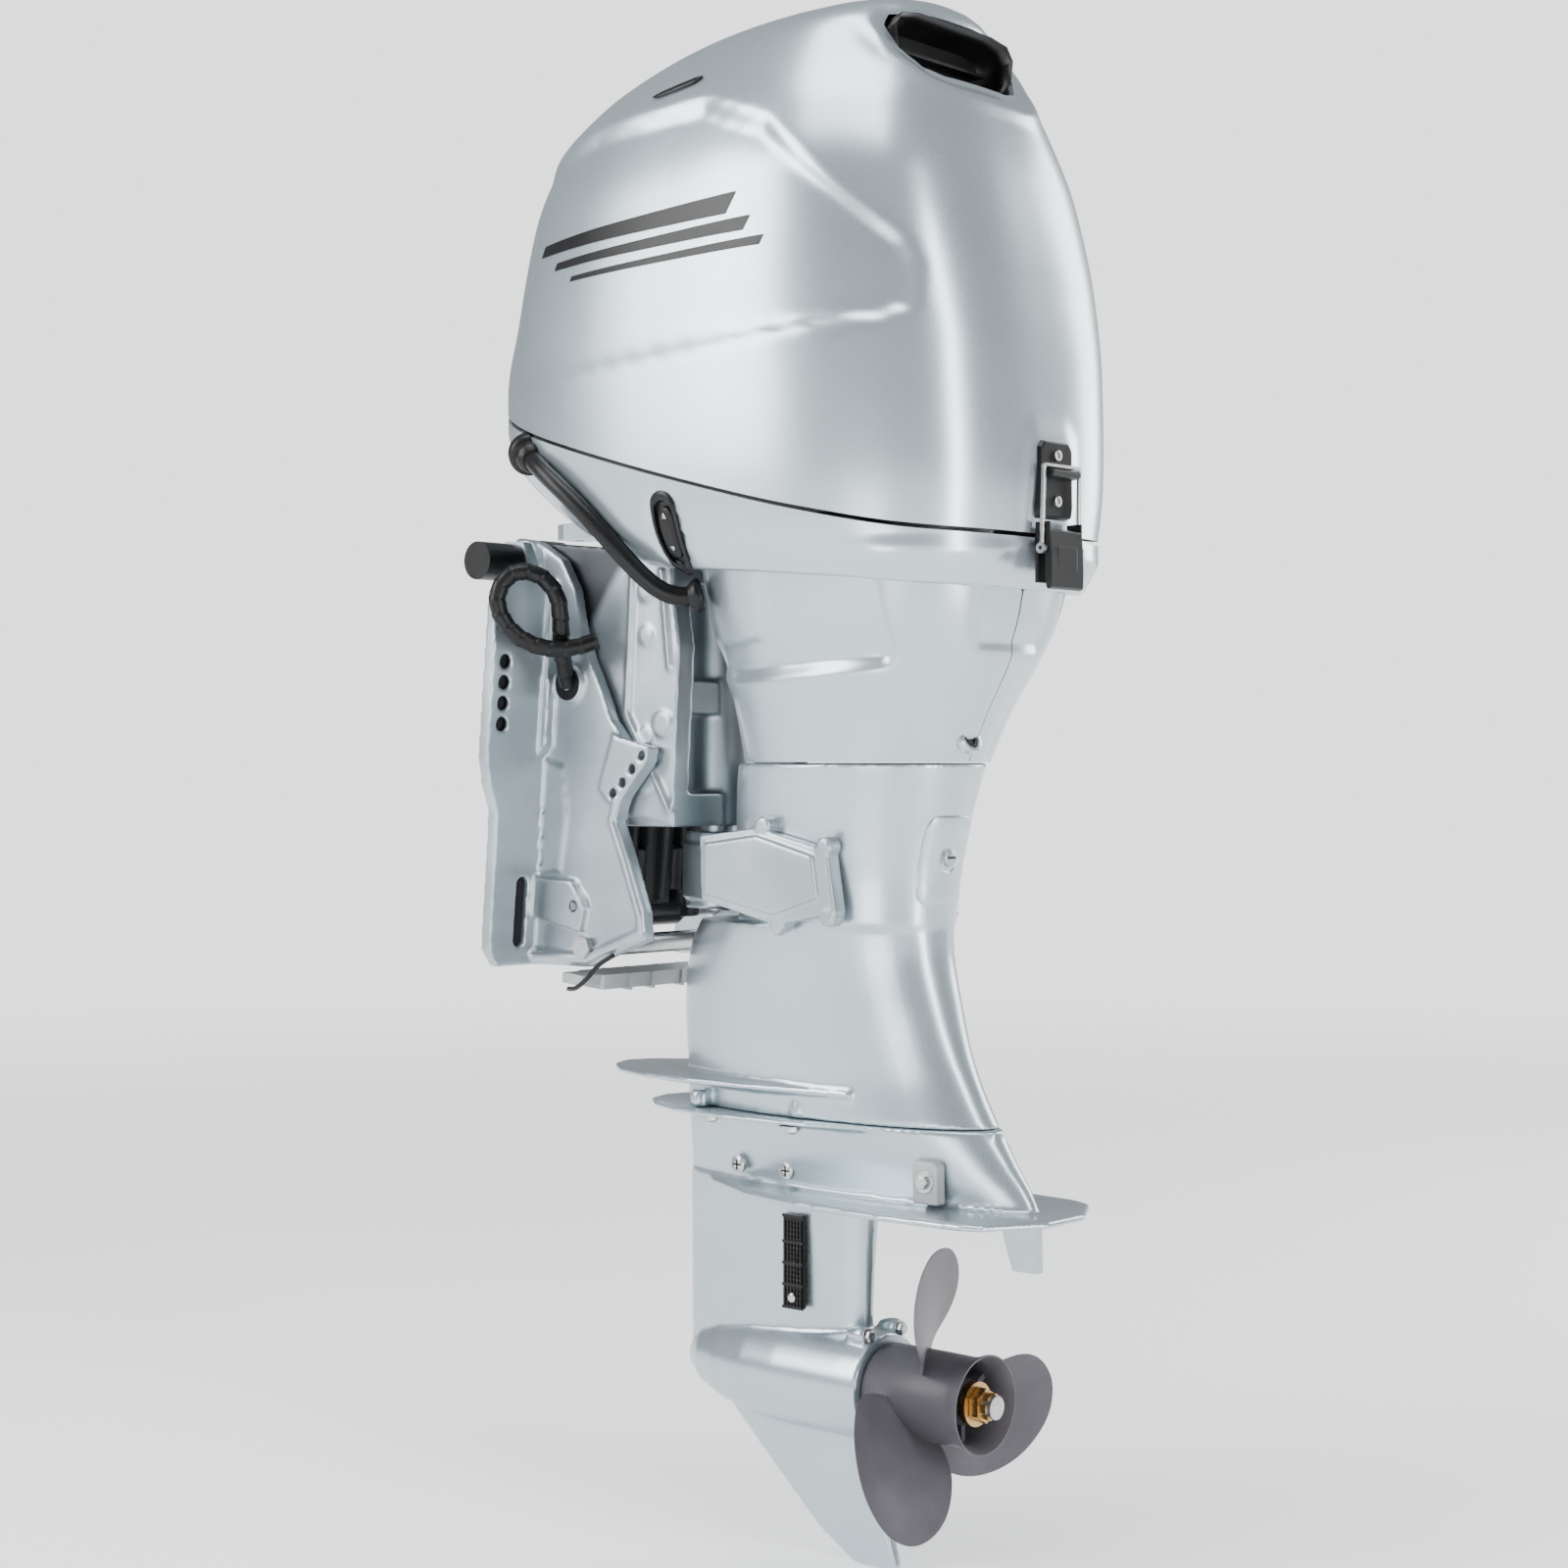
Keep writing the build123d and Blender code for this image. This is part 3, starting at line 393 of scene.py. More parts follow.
def rowAt(table, level):
    level = min(max(level, table[0][0]), table[-1][0])
    i = max(k for k in range(len(table) - 1) if table[k][0] <= level + 1e-9)
    z0, z1 = table[i][0], table[i + 1][0]
    t = (level - z0) / (z1 - z0)
    row = [level]
    for c in range(1, 5):
        p0, p1 = table[i][c], table[i + 1][c]
        m0 = slopeAt(table, i, c) * (z1 - z0)
        m1 = slopeAt(table, i + 1, c) * (z1 - z0)
        row.append((2 * t ** 3 - 3 * t ** 2 + 1) * p0 + (t ** 3 - 2 * t ** 2 + t) * m0
                   + (3 * t ** 2 - 2 * t ** 3) * p1 + (t ** 3 - t ** 2) * m1)
    return row


def slopeAt(table, i, c):
    low, high = max(0, i - 1), min(len(table) - 1, i + 1)
    steps = [(table[k + 1][c] - table[k][c]) / (table[k + 1][0] - table[k][0]) for k in range(low, high)]
    if len(steps) == 2 and steps[0] * steps[1] <= 0:
        return 0.0
    return 2 * steps[0] * steps[1] / (steps[0] + steps[1]) if len(steps) == 2 else steps[0]


def ovalPoint(row, turn, inset=0.0):
    level, front, rear, half, square = row
    c, s = math.cos(turn), math.sin(turn)
    power = 2.0 / square
    reach, half = (rear - front) / 2 - inset, half - inset
    return Vector(((front + rear) / 2 + reach * math.copysign(abs(c) ** power, c),
                   half * math.copysign(abs(s) ** power, s), level))


def evenTurns(row, count, start=0.0, end=2 * math.pi):
    dense = [start + (end - start) * i / 3000 for i in range(3001)]
    points = [ovalPoint(row, t) for t in dense]
    lengths = [0.0]
    for a, b in zip(points, points[1:]):
        lengths.append(lengths[-1] + (b - a).length)
    turns, k = [], 0
    for i in range(count):
        wanted = lengths[-1] * i / count
        while lengths[k + 1] < wanted:
            k += 1
        turns.append(dense[k])
    return turns


def ovalShell(table, turns, low, high, rows, inset=0.0, bunch=1.0):
    rings = [[] for _ in range(rows + 1)]
    for turn in turns:
        bottom, top = edgeLevel(table, turn, low, inset), edgeLevel(table, turn, high, inset)
        for i in range(rows + 1):
            level = bottom + (top - bottom) * (i / rows) ** bunch
            rings[i].append(ovalPoint(rowAt(table, level), turn, inset))
    return rings


def edgeLevel(table, turn, edge, inset):
    if not callable(edge):
        return edge
    level = edge(table[len(table) // 2][1])
    for _ in range(6):
        level = edge(ovalPoint(rowAt(table, level), turn, inset).x)
    return level


def curveAt(points, x):
    if x <= points[0][0]:
        return points[0][1]
    if x >= points[-1][0]:
        return points[-1][1]
    rows = [(px, pz, 0, 0, 0) for px, pz in points]
    return rowAt(rows, x)[1]


def softStep(low, high, value):
    t = min(max((value - low) / (high - low), 0.0), 1.0)
    return t * t * (3 - 2 * t)


def depthInside(point, outline):
    x, z = point
    inside, nearest = False, 1e9
    for (ax, az), (bx, bz) in zip(outline, outline[1:] + outline[:1]):
        if (az > z) != (bz > z) and x < (bx - ax) * (z - az) / (bz - az) + ax:
            inside = not inside
        span = (bx - ax) ** 2 + (bz - az) ** 2
        t = min(max(((x - ax) * (bx - ax) + (z - az) * (bz - az)) / span, 0.0), 1.0)
        nearest = min(nearest, math.hypot(x - ax - t * (bx - ax), z - az - t * (bz - az)))
    return nearest if inside else -nearest


def pressed(obj, relief):  # moves the surface in or out, by millimetres along its normal
    mesh = bmesh.new()
    mesh.from_mesh(obj.data)
    mesh.normal_update()
    moves = [(v, v.normal * relief(v.co * 1000) * mm) for v in mesh.verts]
    for v, move in moves:
        v.co += move
    mesh.to_mesh(obj.data)
    mesh.free()


seamCurve = [(-75, 281), (25, 238), (122, 208), (257, 171), (368, 144), (466, 126), (540, 121)]
stepLine = {"front": (-110, 131), "rear": (560, 74)}
seamGap = 1.9


def seamLevel(x):
    return curveAt(seamCurve, x)


def stepLevel(x):
    (x0, z0), (x1, z1) = stepLine["front"], stepLine["rear"]
    return z0 + (x - x0) * (z1 - z0) / (x1 - x0)


topCowlSettings = {
    "sections": [
        (90, -30, 492, 172, 3.0), (180, -54, 501, 181, 3.0), (270, -56, 498, 185, 3.0), (340, -38, 488, 187, 3.0),
        (420, -20, 469, 181, 3.0), (480, 0, 449, 164, 2.9), (520, 42, 433, 144, 2.8), (550, 108, 423, 124, 2.8),
        (568, 170, 415, 106, 2.7), (580, 245, 404, 82, 2.5), (587, 310, 388, 48, 2.2)],
    "panel": [(-40, 446), (25, 474), (120, 494), (253, 500), (330, 470), (452, 362), (462, 338), (462, 302),
              (440, 292), (300, 282), (120, 272), (-40, 262)],
    "panelDepth": 7.5, "panelEdge": 10, "columns": 192, "rows": 54, "wall": 4,
    "mouth": [(-80, 532), (-83, 552), (-74, 563), (-50, 567), (50, 567), (74, 563), (83, 552), (80, 532), (64, 516),
              (42, 511), (-42, 511), (-64, 516)],
    "lipDeep": 13, "lipWide": 17, "rimHigh": 2.2, "rimWide": 26}


def cowlRelief(p, s):
    lift = 0.0
    if abs(p.y) > 40:
        side = depthInside((p.x, p.z), s["panel"])
        fade = softStep(-30, 110, p.x)
        low = softStep(270, 300 + (470 - p.x) * 0.05, p.z)
        lift -= s["panelDepth"] * softStep(0, s["panelEdge"], side) * fade * (0.35 + 0.65 * low)
    if p.x > 330 and p.z > 440:
        away = -depthInside((p.y, p.z), s["mouth"])
        lift += s["rimHigh"] * (1 - softStep(s["rimWide"] - 6, s["rimWide"] + 4, away)) * (1 - softStep(550, 574, p.z))
        lift -= s["lipDeep"] * (1 - softStep(0, s["lipWide"], away))
    if p.x > 440 and p.z < 260:
        pad = depthInside((p.y, p.z), [(-33, 100), (33, 100), (33, 205), (24, 216), (-24, 216), (-33, 205)])
        lift += 3.0 * softStep(-2, 5, pad)
    return lift


def makeTopCowl(s):
    turns = evenTurns(s["sections"][4], s["columns"])
    rings = ovalShell(s["sections"], turns, lambda x: seamLevel(x) + seamGap, 586.2, s["rows"], bunch=0.86)
    crown = [Vector((349, 0, 586.6))]
    for share in (0.72, 0.44, 0.2):
        rings.append([p.lerp(crown[0], 1 - share) for p in rings[s["rows"]]])
        for p in rings[-1]:
            p.z = 586.2 + 0.4 * (1 - share)
    shape = ringed(rings, caps=False)
    shape.points.append(crown[0])
    last = len(shape.points) - 1
    count = s["columns"]
    for j in range(count):
        shape.faces.append((last - count + j, last - count + (j + 1) % count, last))
    cowl = piece("topCowl", shape, "silver_paint", "lid", ["top_cowl"])
    pressed(cowl, lambda p: cowlRelief(p, s))
    stacked(cowl, shellWall(s["wall"]))
    bake(cowl)
    cut(cowl, prism(s["mouth"], 372, 480, "x"))
    smoothed(cowl, 38)


def makeMouthLiner(s):  # a black cup behind the air intake, with a slatted back
    rings = []
    for x, share in ((402, 0.99), (388, 0.97), (374, 0.93), (370, 0.88)):
        rings.append([(x, y * share, 540 + (z - 540) * share - (402 - x) * 0.25) for y, z in s["mouth"]])
    liner = ringed(rings)
    liner.faces = liner.faces[:-2] + liner.faces[-1:]
    for level in (520, 531, 542):
        liner += box(372, 384, -66, 66, level - 5.5, level - 3)
    piece("intakeCup", liner, "black_plastic", "lid", ["intake_duct"], [("SOLIDIFY", {"thickness": 0.0008})])


def makeVentShades(s):  # black patches on the sides under the deck: painted shade for the small vent slots
    row = s["sections"]
    for side in (-1, 1):
        rings = []
        for x, low, high in ((186, 512.2, 512.8), (194, 511.5, 515.6), (214, 514.2, 519.4), (232, 517.4, 522.6),
                             (240, 521.6, 523)):
            ring = []
            for level in (low, (low + high) / 2, high):
                ring.append(onSide(row, x, level, side, 1.7))
            rings.append(ring)
        # painted shade: black sheets stand in for the dark openings of the slots
        piece("sideVentShade" + sideNames[side], ringed(rings, closed=False, caps=False),
              "black_plastic", "lid", (), [("SOLIDIFY", {"thickness": 0.0016, "offset": 0})])


def onSide(table, x, level, side, proud=0.0):  # a point on an oval shell's side at this x and level
    row = rowAt(table, level)
    low, high = math.pi, 2 * math.pi
    for _ in range(40):
        middle = (low + high) / 2
        if ovalPoint(row, middle, -proud).x < x:
            low = middle
        else:
            high = middle
    p = ovalPoint(row, (low + high) / 2, -proud)
    return Vector((p.x, p.y * -side, p.z))


decalSettings = {
    "sideBars": [((60, 392), (300, 402), 9), ((84, 375), (318, 383), 6), ((108, 361), (334, 367), 4)],
    "proud": 0.35}


def makeDecals(s, cowl):  # plain tapered stripes
    rows = cowl["sections"]
    for side in (-1, 1):
        shape = Shape()
        for (x0, z0), (x1, z1), wide in s["sideBars"]:
            rings = []
            for i in range(37):
                t = i / 36
                x, z = x0 + (x1 - x0) * t, z0 + (z1 - z0) * t
                half = wide * (0.55 + 0.45 * t)
                ring = []
                for k in range(5):
                    off = (k / 2 - 1) * half
                    p = onSide(rows, x + off * 0.55, z + off, side, s["proud"])
                    p.y -= math.copysign(cowlRelief(p, cowl), p.y) * 0.985  # down into the pressed panel
                    ring.append(p)
                rings.append(ring)
            shape += ringed(rings, closed=False, caps=False)
        piece("sideStripes" + sideNames[side], shape, "black_plastic", "lid")


makeTopCowl(topCowlSettings)
makeMouthLiner(topCowlSettings)
makeVentShades(topCowlSettings)
makeDecals(decalSettings, topCowlSettings)
print("top cowl made")


traySettings = {
    "sections": [
        (72, 196, 474, 139, 2.7), (92, 158, 486, 149, 2.8), (112, 112, 495, 159, 2.9), (140, 48, 500, 169, 3.0),
        (175, -6, 501, 177, 3.0), (205, -40, 500, 181, 3.0), (240, -56, 499, 184, 3.0), (300, -50, 494, 186, 3.0)],
    "columns": 150, "rows": 18, "wall": 4,
    "switchAt": (219, 132), "switchHalf": (15, 33)}


def trayRelief(p, s):
    lift = 0.0
    if p.x > 430:
        pad = depthInside((p.y, p.z), [(-46, 60), (46, 60), (46, 112), (38, 121), (-38, 121), (-46, 112)])
        lift += 2.6 * softStep(-3, 5, pad)
    lip = softStep(388, 440, p.x) * softStep(78, 84, p.z) * (1 - softStep(106, 124, p.z))
    lift += 4.5 * lip * softStep(40, 60, abs(p.y))
    if p.y < -100:
        x, z = s["switchAt"]
        a, b = s["switchHalf"]
        ring = math.hypot((p.x - x) / a, (p.z - z) / b)
        lift -= 5 * (1 - softStep(0.8, 1.12, ring))
    return lift


def tunnel(margin):
    aft = 200 + margin
    wide = 82 + margin
    body = box(-110, aft, -wide, wide, 30, 172 + margin)
    sweep = []
    for level in (28, 149 + margin):
        ring = []
        for i in range(48):
            turn = 2 * math.pi * i / 48
            ring.append((min(125 + (132 + margin) * math.cos(turn), aft - 0.7), (132 + margin) * math.sin(turn), level))
        sweep.append(ring)
    return body, ringed(sweep)


def makeTray(s):
    turns = evenTurns(s["sections"][4], s["columns"])
    rings = ovalShell(s["sections"], turns, stepLevel, lambda x: seamLevel(x) - seamGap, s["rows"])
    skin = piece("lowerCowl", ringed(rings, caps=False), "silver_paint", "motor", ["lower_cowl"])
    pressed(skin, lambda p: trayRelief(p, s))
    mesh = bmesh.new()
    mesh.from_mesh(skin.data)
    edges = sorted((e for e in mesh.edges if e.is_boundary),
                   key=lambda e: e.verts[0].co.z - stepLevel(e.verts[0].co.x * 1000) * mm)
    low = [e for e in edges if abs(e.verts[0].co.z * 1000 - stepLevel(e.verts[0].co.x * 1000)) < 3]
    fresh = bmesh.ops.extrude_edge_only(mesh, edges=low)["geom"]
    moved = [v for v in fresh if isinstance(v, bmesh.types.BMVert)]
    for v in moved:
        v.co.x = 0.330 + (v.co.x - 0.330) * 0.97
        v.co.y *= 0.95
        v.co.z = stepLevel(v.co.x * 1000) * mm
    rim = [e for e in mesh.edges if e.is_boundary and all(v in moved for v in e.verts)]
    bmesh.ops.contextual_create(mesh, geom=rim)
    mesh.to_mesh(skin.data)
    mesh.free()
    edgeBevel = {"width": 2.2 * mm, "segments": 3, "limit_method": "ANGLE", "angle_limit": math.radians(50)}
    stacked(skin, [("BEVEL", edgeBevel), shellWall(s["wall"])[1]])
    bake(skin)
    for part in tunnel(0):
        cut(skin, part)
    cut(skin, box(206, 430, -72, 72, 50, 128))
    smoothed(skin, 38)


makeTray(traySettings)
print("lower cowl made")


coverSettings = {
    "sections": [
        (-64, 190, 416, 88, 2.3), (-20, 180, 437, 98, 2.3), (20, 172, 459, 112, 2.4), (60, 168, 474, 127, 2.5),
        (112, 164, 483, 141, 2.6)],
    "columns": 76, "rows": 34, "wall": 4,
    "outer": [(100, 130), (417, 130), (417, 28), (404, 13), (240, 4), (100, 30)],
    "inner": [(100, 130), (297, 130), (292, 45), (280, 36), (225, 30), (100, 45)],
    "rear": [(-62, 130), (-60, 48), (-44, 26), (44, 26), (60, 48), (62, 130)]}


def coverRelief(p, s):
    lift = 0.0
    if abs(p.y) > 45:
        lift -= 8.0 * softStep(0, 8, depthInside((p.x, p.z), s["outer"])) * softStep(165, 235, p.x)
        lift += 4.0 * softStep(0, 7, depthInside((p.x, p.z), s["inner"])) * softStep(165, 235, p.x)
    if p.x > 440:
        lift -= 5.0 * softStep(0, 9, depthInside((p.y, p.z), s["rear"]))
    return lift


def makeCover(side, s):
    row = s["sections"][2]
    turns = evenTurns(row, s["columns"], math.pi + 0.002, 2 * math.pi - 0.002) + [2 * math.pi - 0.002]
    rings = ovalShell(s["sections"], turns, -64, lambda x: stepLevel(x) - 0.8, s["rows"])
    shape = ringed(rings, closed=False, caps=False)
    if side > 0:
        shape = shape.mirrored()
    names = {-1: ("underCoverPort", "under_cover_port"), 1: ("underCoverStarboard", "under_cover_starboard")}[side]
    cover = piece(names[0], shape, "silver_paint", "motor", [names[1]])
    mesh = bmesh.new()
    mesh.from_mesh(cover.data)
    faces = list(mesh.faces)
    outward = sum((f.normal.y * side for f in faces))
    if outward < 0:
        bmesh.ops.reverse_faces(mesh, faces=faces)
    mesh.to_mesh(cover.data)
    mesh.free()
    pressed(cover, lambda p: coverRelief(p, s))
    stacked(cover, shellWall(s["wall"]))
    bake(cover)
    cut(cover, box(150, 214, -78, 78, -70, 128))
    smoothed(cover, 38)


for side in (-1, 1):
    makeCover(side, coverSettings)
print("under covers made")


legSettings = {
    "upper": [(-206, 170, 388, 67, 2.2), (-170, 170, 390, 69, 2.2), (-140, 170, 395, 73, 2.2),
              (-100, 172, 406, 79, 2.2), (-64.8, 178, 415, 86, 2.2)],
    "lower": [(-374.8, 96, 444, 57, 2.0), (-345, 96, 427, 58, 2.0), (-310, 96, 411, 60, 2.1),
              (-270, 98, 399, 62, 2.2), (-230, 107, 390, 65, 2.2), (-206, 122, 388, 67, 2.2)],
    "splash": [(3, 0), (14, 24), (44, 48), (90, 64), (150, 70), (230, 68), (330, 57)],
    "splashLevel": -350, "splashHalf": 3.2, "voxel": 2.2, "smoothing": 7}


def bothSides(half):
    return half + [(x, -y) for x, y in reversed(half) if y]


def blade(outline, level, half, edge=0.6, shrink=0.035):  # a thin plate with a feathered edge
    centre = sum(p[0] for p in outline) / len(outline)

    def scaled(amount):
        return [(centre + (x - centre) * (1 - amount), y * (1 - amount * 1.5)) for x, y in outline]
    rings = []
    for offset, amount in ((-half, shrink), (-half * edge, 0), (half * edge, 0), (half, shrink)):
        rings.append([(x, y, level + offset) for x, y in scaled(amount)])
    return ringed(rings)


def solidOval(table, count=72, steps=14):
    turns = [2 * math.pi * i / count for i in range(count)]
    low, high = table[0][0], table[-1][0]
    rings = []
    for i in range(steps + 1):
        row = rowAt(table, low + (high - low) * i / steps)
        rings.append([ovalPoint(row, t) for t in turns])
    return ringed(rings)


def makeLeg(s):
    shape = solidOval(s["upper"]) + solidOval(s["lower"], steps=20)
    shape += blade(bothSides(s["splash"]), s["splashLevel"], s["splashHalf"])
    for side in (-1, 1):
        for x in (150, 270):
            shape += rod((x, side * 52, -374.6), (x, side * 50, -360), 9)
    piece("legCasting", shape, "silver_paint", "motor", ["extension_case"], cast(s["voxel"], s["smoothing"]))


makeLeg(legSettings)

gearcaseSettings = {
    "sections": [(-448, 96, 492, 33, 2.0), (-425, 96, 480, 40, 2.0), (-400, 96, 462, 49, 2.0),
                 (-375.2, 96, 446, 56, 2.0)],
    "strut": [(-610, 96, 306, 28, 2.0), (-560, 95, 308, 27, 2.0), (-500, 95, 311, 28, 2.0), (-440, 95, 316, 31, 2.0)],
    "rim": [(56, 0), (64, 26), (90, 50), (130, 66), (200, 75), (290, 70), (380, 42), (449, 8)],
    "plate": [(112, 0), (144, 30), (220, 68), (293, 84), (390, 90), (470, 84), (488, 76), (518, 26)],
    "torpedo": [(96, 4), (104, 17), (122, 29), (150, 39), (190, 46), (230, 48), (305, 47.5), (327, 46.5)],
    "skeg": [(120, -622), (150, -655), (200, -700), (253, -746), (292, -769), (340, -768), (330, -735), (312, -690),
             (305, -640), (305, -600), (130, -600)],
    "propLevel": -610, "voxel": 2.3, "smoothing": 6}


def makeGearcase(s):
    shape = solidOval(s["sections"], steps=8) + solidOval(s["strut"], steps=10)
    shape += blade(bothSides(s["rim"]), -377.7, 2.6) + blade(bothSides(s["plate"]), -444.5, 3.5)
    shape += turned(s["torpedo"], (0, 0, s["propLevel"]), (1, 0, 0), 64)
    shape += prism(s["skeg"], -5.6, 0.01, "y") + prism(s["skeg"], -0.01, 5.6, "y")
    for side in (-1, 1):
        shape += turned([(0, 5), (12, 8.5), (22, 8.5)], (300, side * 22, -563), (1, 0, 0), 24)
    piece("gearcaseCasting", shape, "silver_paint", "motor", ["gearcase"], cast(s["voxel"], s["smoothing"]))


makeGearcase(gearcaseSettings)


fittingSettings = {
    "plugs": [(186, -40.2), (244, -40.4)], "plugLevel": -425,
    "anode": [(391, -437), (417, -437), (417, -404), (413, -401), (391, -401)],
    "rimBolts": [(160, 49), (266, 60)], "rimBoltLevel": -381, "carrierBolt": (322, 22, -563),
    "screenSide": 31.5, "gridLow": -546, "gridHigh": -464}


def makeGearcaseFittings(s):
    plugs, marks = Shape(), Shape()
    level = s["plugLevel"]
    profile = [(-3, 8), (0.6, 8), (1.2, 7.2), (1.2, 6.4), (0.4, 6.2), (1.0, 5.4), (1.4, 1.0)]
    for x, y in s["plugs"]:
        plugs += turned(profile, (x, y, level), (0, -1, 0), 32)
        # painted shade: black bars on each plug face stand in for the shade in its cross slot
        face = y - 1.7
        marks += box(x - 4.8, x + 4.8, face, face + 0.5, level - 0.7, level + 0.7)
        marks += box(x - 0.7, x + 0.7, face, face + 0.5, level - 4.8, level + 4.8)
    piece("oilPlugs", plugs, "steel", "motor", ["oil_plugs"])
    piece("plugSlotShades", marks, "black_plastic", "motor")
    piece("caseAnode", prism(s["anode"], -46, -34), "anode_alloy", "motor", ["case_anode"], edged(1.6))
    bolts = turned([(0, 9.5), (1.2, 9.5), (1.4, 6)], (404, -46, -418), (0, -1, 0), 32)
    bolts += hexHead((404, -47.2, -418), (0, -1, 0), 11, 4.6)
    for x, y in s["rimBolts"]:
        for side in (-1, 1):
            bolts += hexHead((x, side * y, s["rimBoltLevel"]), (0, 0, -1), 13, 7, 10)
    x, y, z = s["carrierBolt"]
    for side in (-1, 1):
        bolts += hexHead((x, side * y, z), (1, 0, 0), 10, 6, 7.5)
    piece("gearcaseBolts", bolts, "steel", "motor", (), edged(0.5, 2))
    for side in (-1, 1):
        makeScreen(side, s)


def makeScreen(side, s):  # a grid of bars over a backing plate
    face = side * s["screenSide"]
    screen = Shape()

    def bar(x0, x1, z0, z1, proud, sunk=0.0):
        y0, y1 = sorted((face - side * sunk, face + side * proud))
        return box(x0, x1, y0, y1, z0, z1)
    for z in (-546, -527, -508, -489):
        for k in range(6):
            screen += bar(235 + k * 3.7, 236.6 + k * 3.7, z, z + 19, 2)
    for z in range(s["gridLow"], s["gridHigh"], 4):
        screen += bar(234, 256, z - 0.8, z + 0.8, 1.4)
    screen += bar(233, 257, -547, -465, 0.4, 3)
    for z in (-547, -527, -508, -489, -466):
        screen += bar(233, 257, z - 1.2, z + 1.2, 2.2)
    names = [] if side > 0 else ["intake_screens"]
    piece("intakeScreen" + sideNames[side], screen, "black_plastic", "motor", names)
    screw = turned([(0, 4.4), (1.6, 4.2), (2.6, 3.0), (2.7, 1)], (245, face + side * 1.6, -538), (0, side, 0), 24)
    piece("screenScrew" + sideNames[side], screw, "steel", "motor")


makeGearcaseFittings(fittingSettings)


flushSettings = {
    "half": (30.5, 38), "level": -148.5, "screwLevel": -146, "screwRound": 36,
    "layers": [(1.0, -1.0), (1.0, 1.4), (0.955, 2.2), (0.7, 2.2), (0.36, 2.2), (0.33, 1.3), (0.1, 1.3), (0.02, 1.3)]}


def makeFlushCover(s):  # the rounded cover on the leg's aft face, with its screw plug
    rows = legSettings["upper"]
    screw = s["screwLevel"]
    rings = []
    for share, lift in s["layers"]:
        ring = []
        for i in range(64):
            turn = 2 * math.pi * i / 64
            c, d = math.cos(turn), math.sin(turn)
            y = s["half"][0] * share * math.copysign(abs(c) ** 0.34, c)
            z = s["level"] + s["half"][1] * share * math.copysign(abs(d) ** 0.30, d)
            if share < 0.5:
                y, z = s["screwRound"] * share * c, screw + s["screwRound"] * share * d
            row = rowAt(rows, z)
            half = row[3]
            x = (row[1] + row[2]) / 2 + (row[2] - row[1]) / 2 * (1 - (abs(y) / half) ** row[4]) ** (1 / row[4])
            ring.append((x + lift, y, z))
        rings.append(ring)
    piece("flushCover", ringed(rings), "silver_paint", "motor", ["flush_cover"])
    x = rowAt(rows, screw)[2]
    plug = turned([(0, 8), (3.0, 7.6), (3.6, 6.6), (3.6, 1)], (x, 0, screw), (1, 0, 0), 36)
    piece("flushPlug", plug, "satin_casting", "motor")
    # painted shade: a black bar on the plug face stands in for the shade in its screw slot
    piece("flushSlotShade", box(x + 3.2, x + 3.9, -5.4, 5.4, screw - 1, screw + 1), "black_plastic", "motor")


makeFlushCover(flushSettings)

tellTaleSettings = {
    "at": (424.5, -10, -45), "way": (1, -0.06, 0.45),
    "bezel": [(-4, 12.5), (1.0, 12.5), (2.6, 11.6), (3.0, 9.4), (1.8, 8.0), (-2, 7.6)],
    "nozzle": [(0.4, 8.0), (1.6, 7.6), (1.8, 5.2), (0.4, 4.6), (0.2, 0.6)]}


def makeTellTale(s):
    piece("tellTaleBezel", turned(s["bezel"], s["at"], s["way"], 36), "silver_paint", "motor")
    piece("tellTaleNozzle", turned(s["nozzle"], s["at"], s["way"], 28), "black_rubber", "motor")


makeTellTale(tellTaleSettings)
print("leg and gearcase made")


propellerSettings = {
    "level": -610, "hub": 39, "front": 328, "rear": 434, "phase": -9, "middle": 373, "pitch": 205,
    "rake": 0.30,
    "stations": [(34, 29, 0), (44, 40, -1), (56, 52, -2), (72, 62, -3), (88, 67, -2), (103, 65, 1), (116, 55, 5),
                 (126, 41, 9), (132, 26, 12), (135.4, 8, 14)]}


def bladeShape(s):
    rings = []
    for radius, half, skew in s["stations"]:
        angle = math.atan(s["pitch"] / (2 * math.pi * max(radius, 58)))
        thick = 2.9 * (1 - radius / 170)
        top, under = [], []
        for i in range(9):
            t = -1 + 2 * i / 8
            along = skew + half * t
            around = along * math.cos(angle) / radius
            x = along * math.sin(angle) + (radius - s["hub"]) * s["rake"]
            for side, line in ((1, top), (-1, under)):
                lift = side * thick * math.sqrt(max(0.0, 1 - t * t)) * 0.9 + side * 0.25
                a = -around + lift * math.sin(angle) / radius
                line.append(Vector((x + lift * math.cos(angle), radius * math.sin(a), radius * math.cos(a))))
        rings.append(top + list(reversed(under)))
    return ringed(rings)


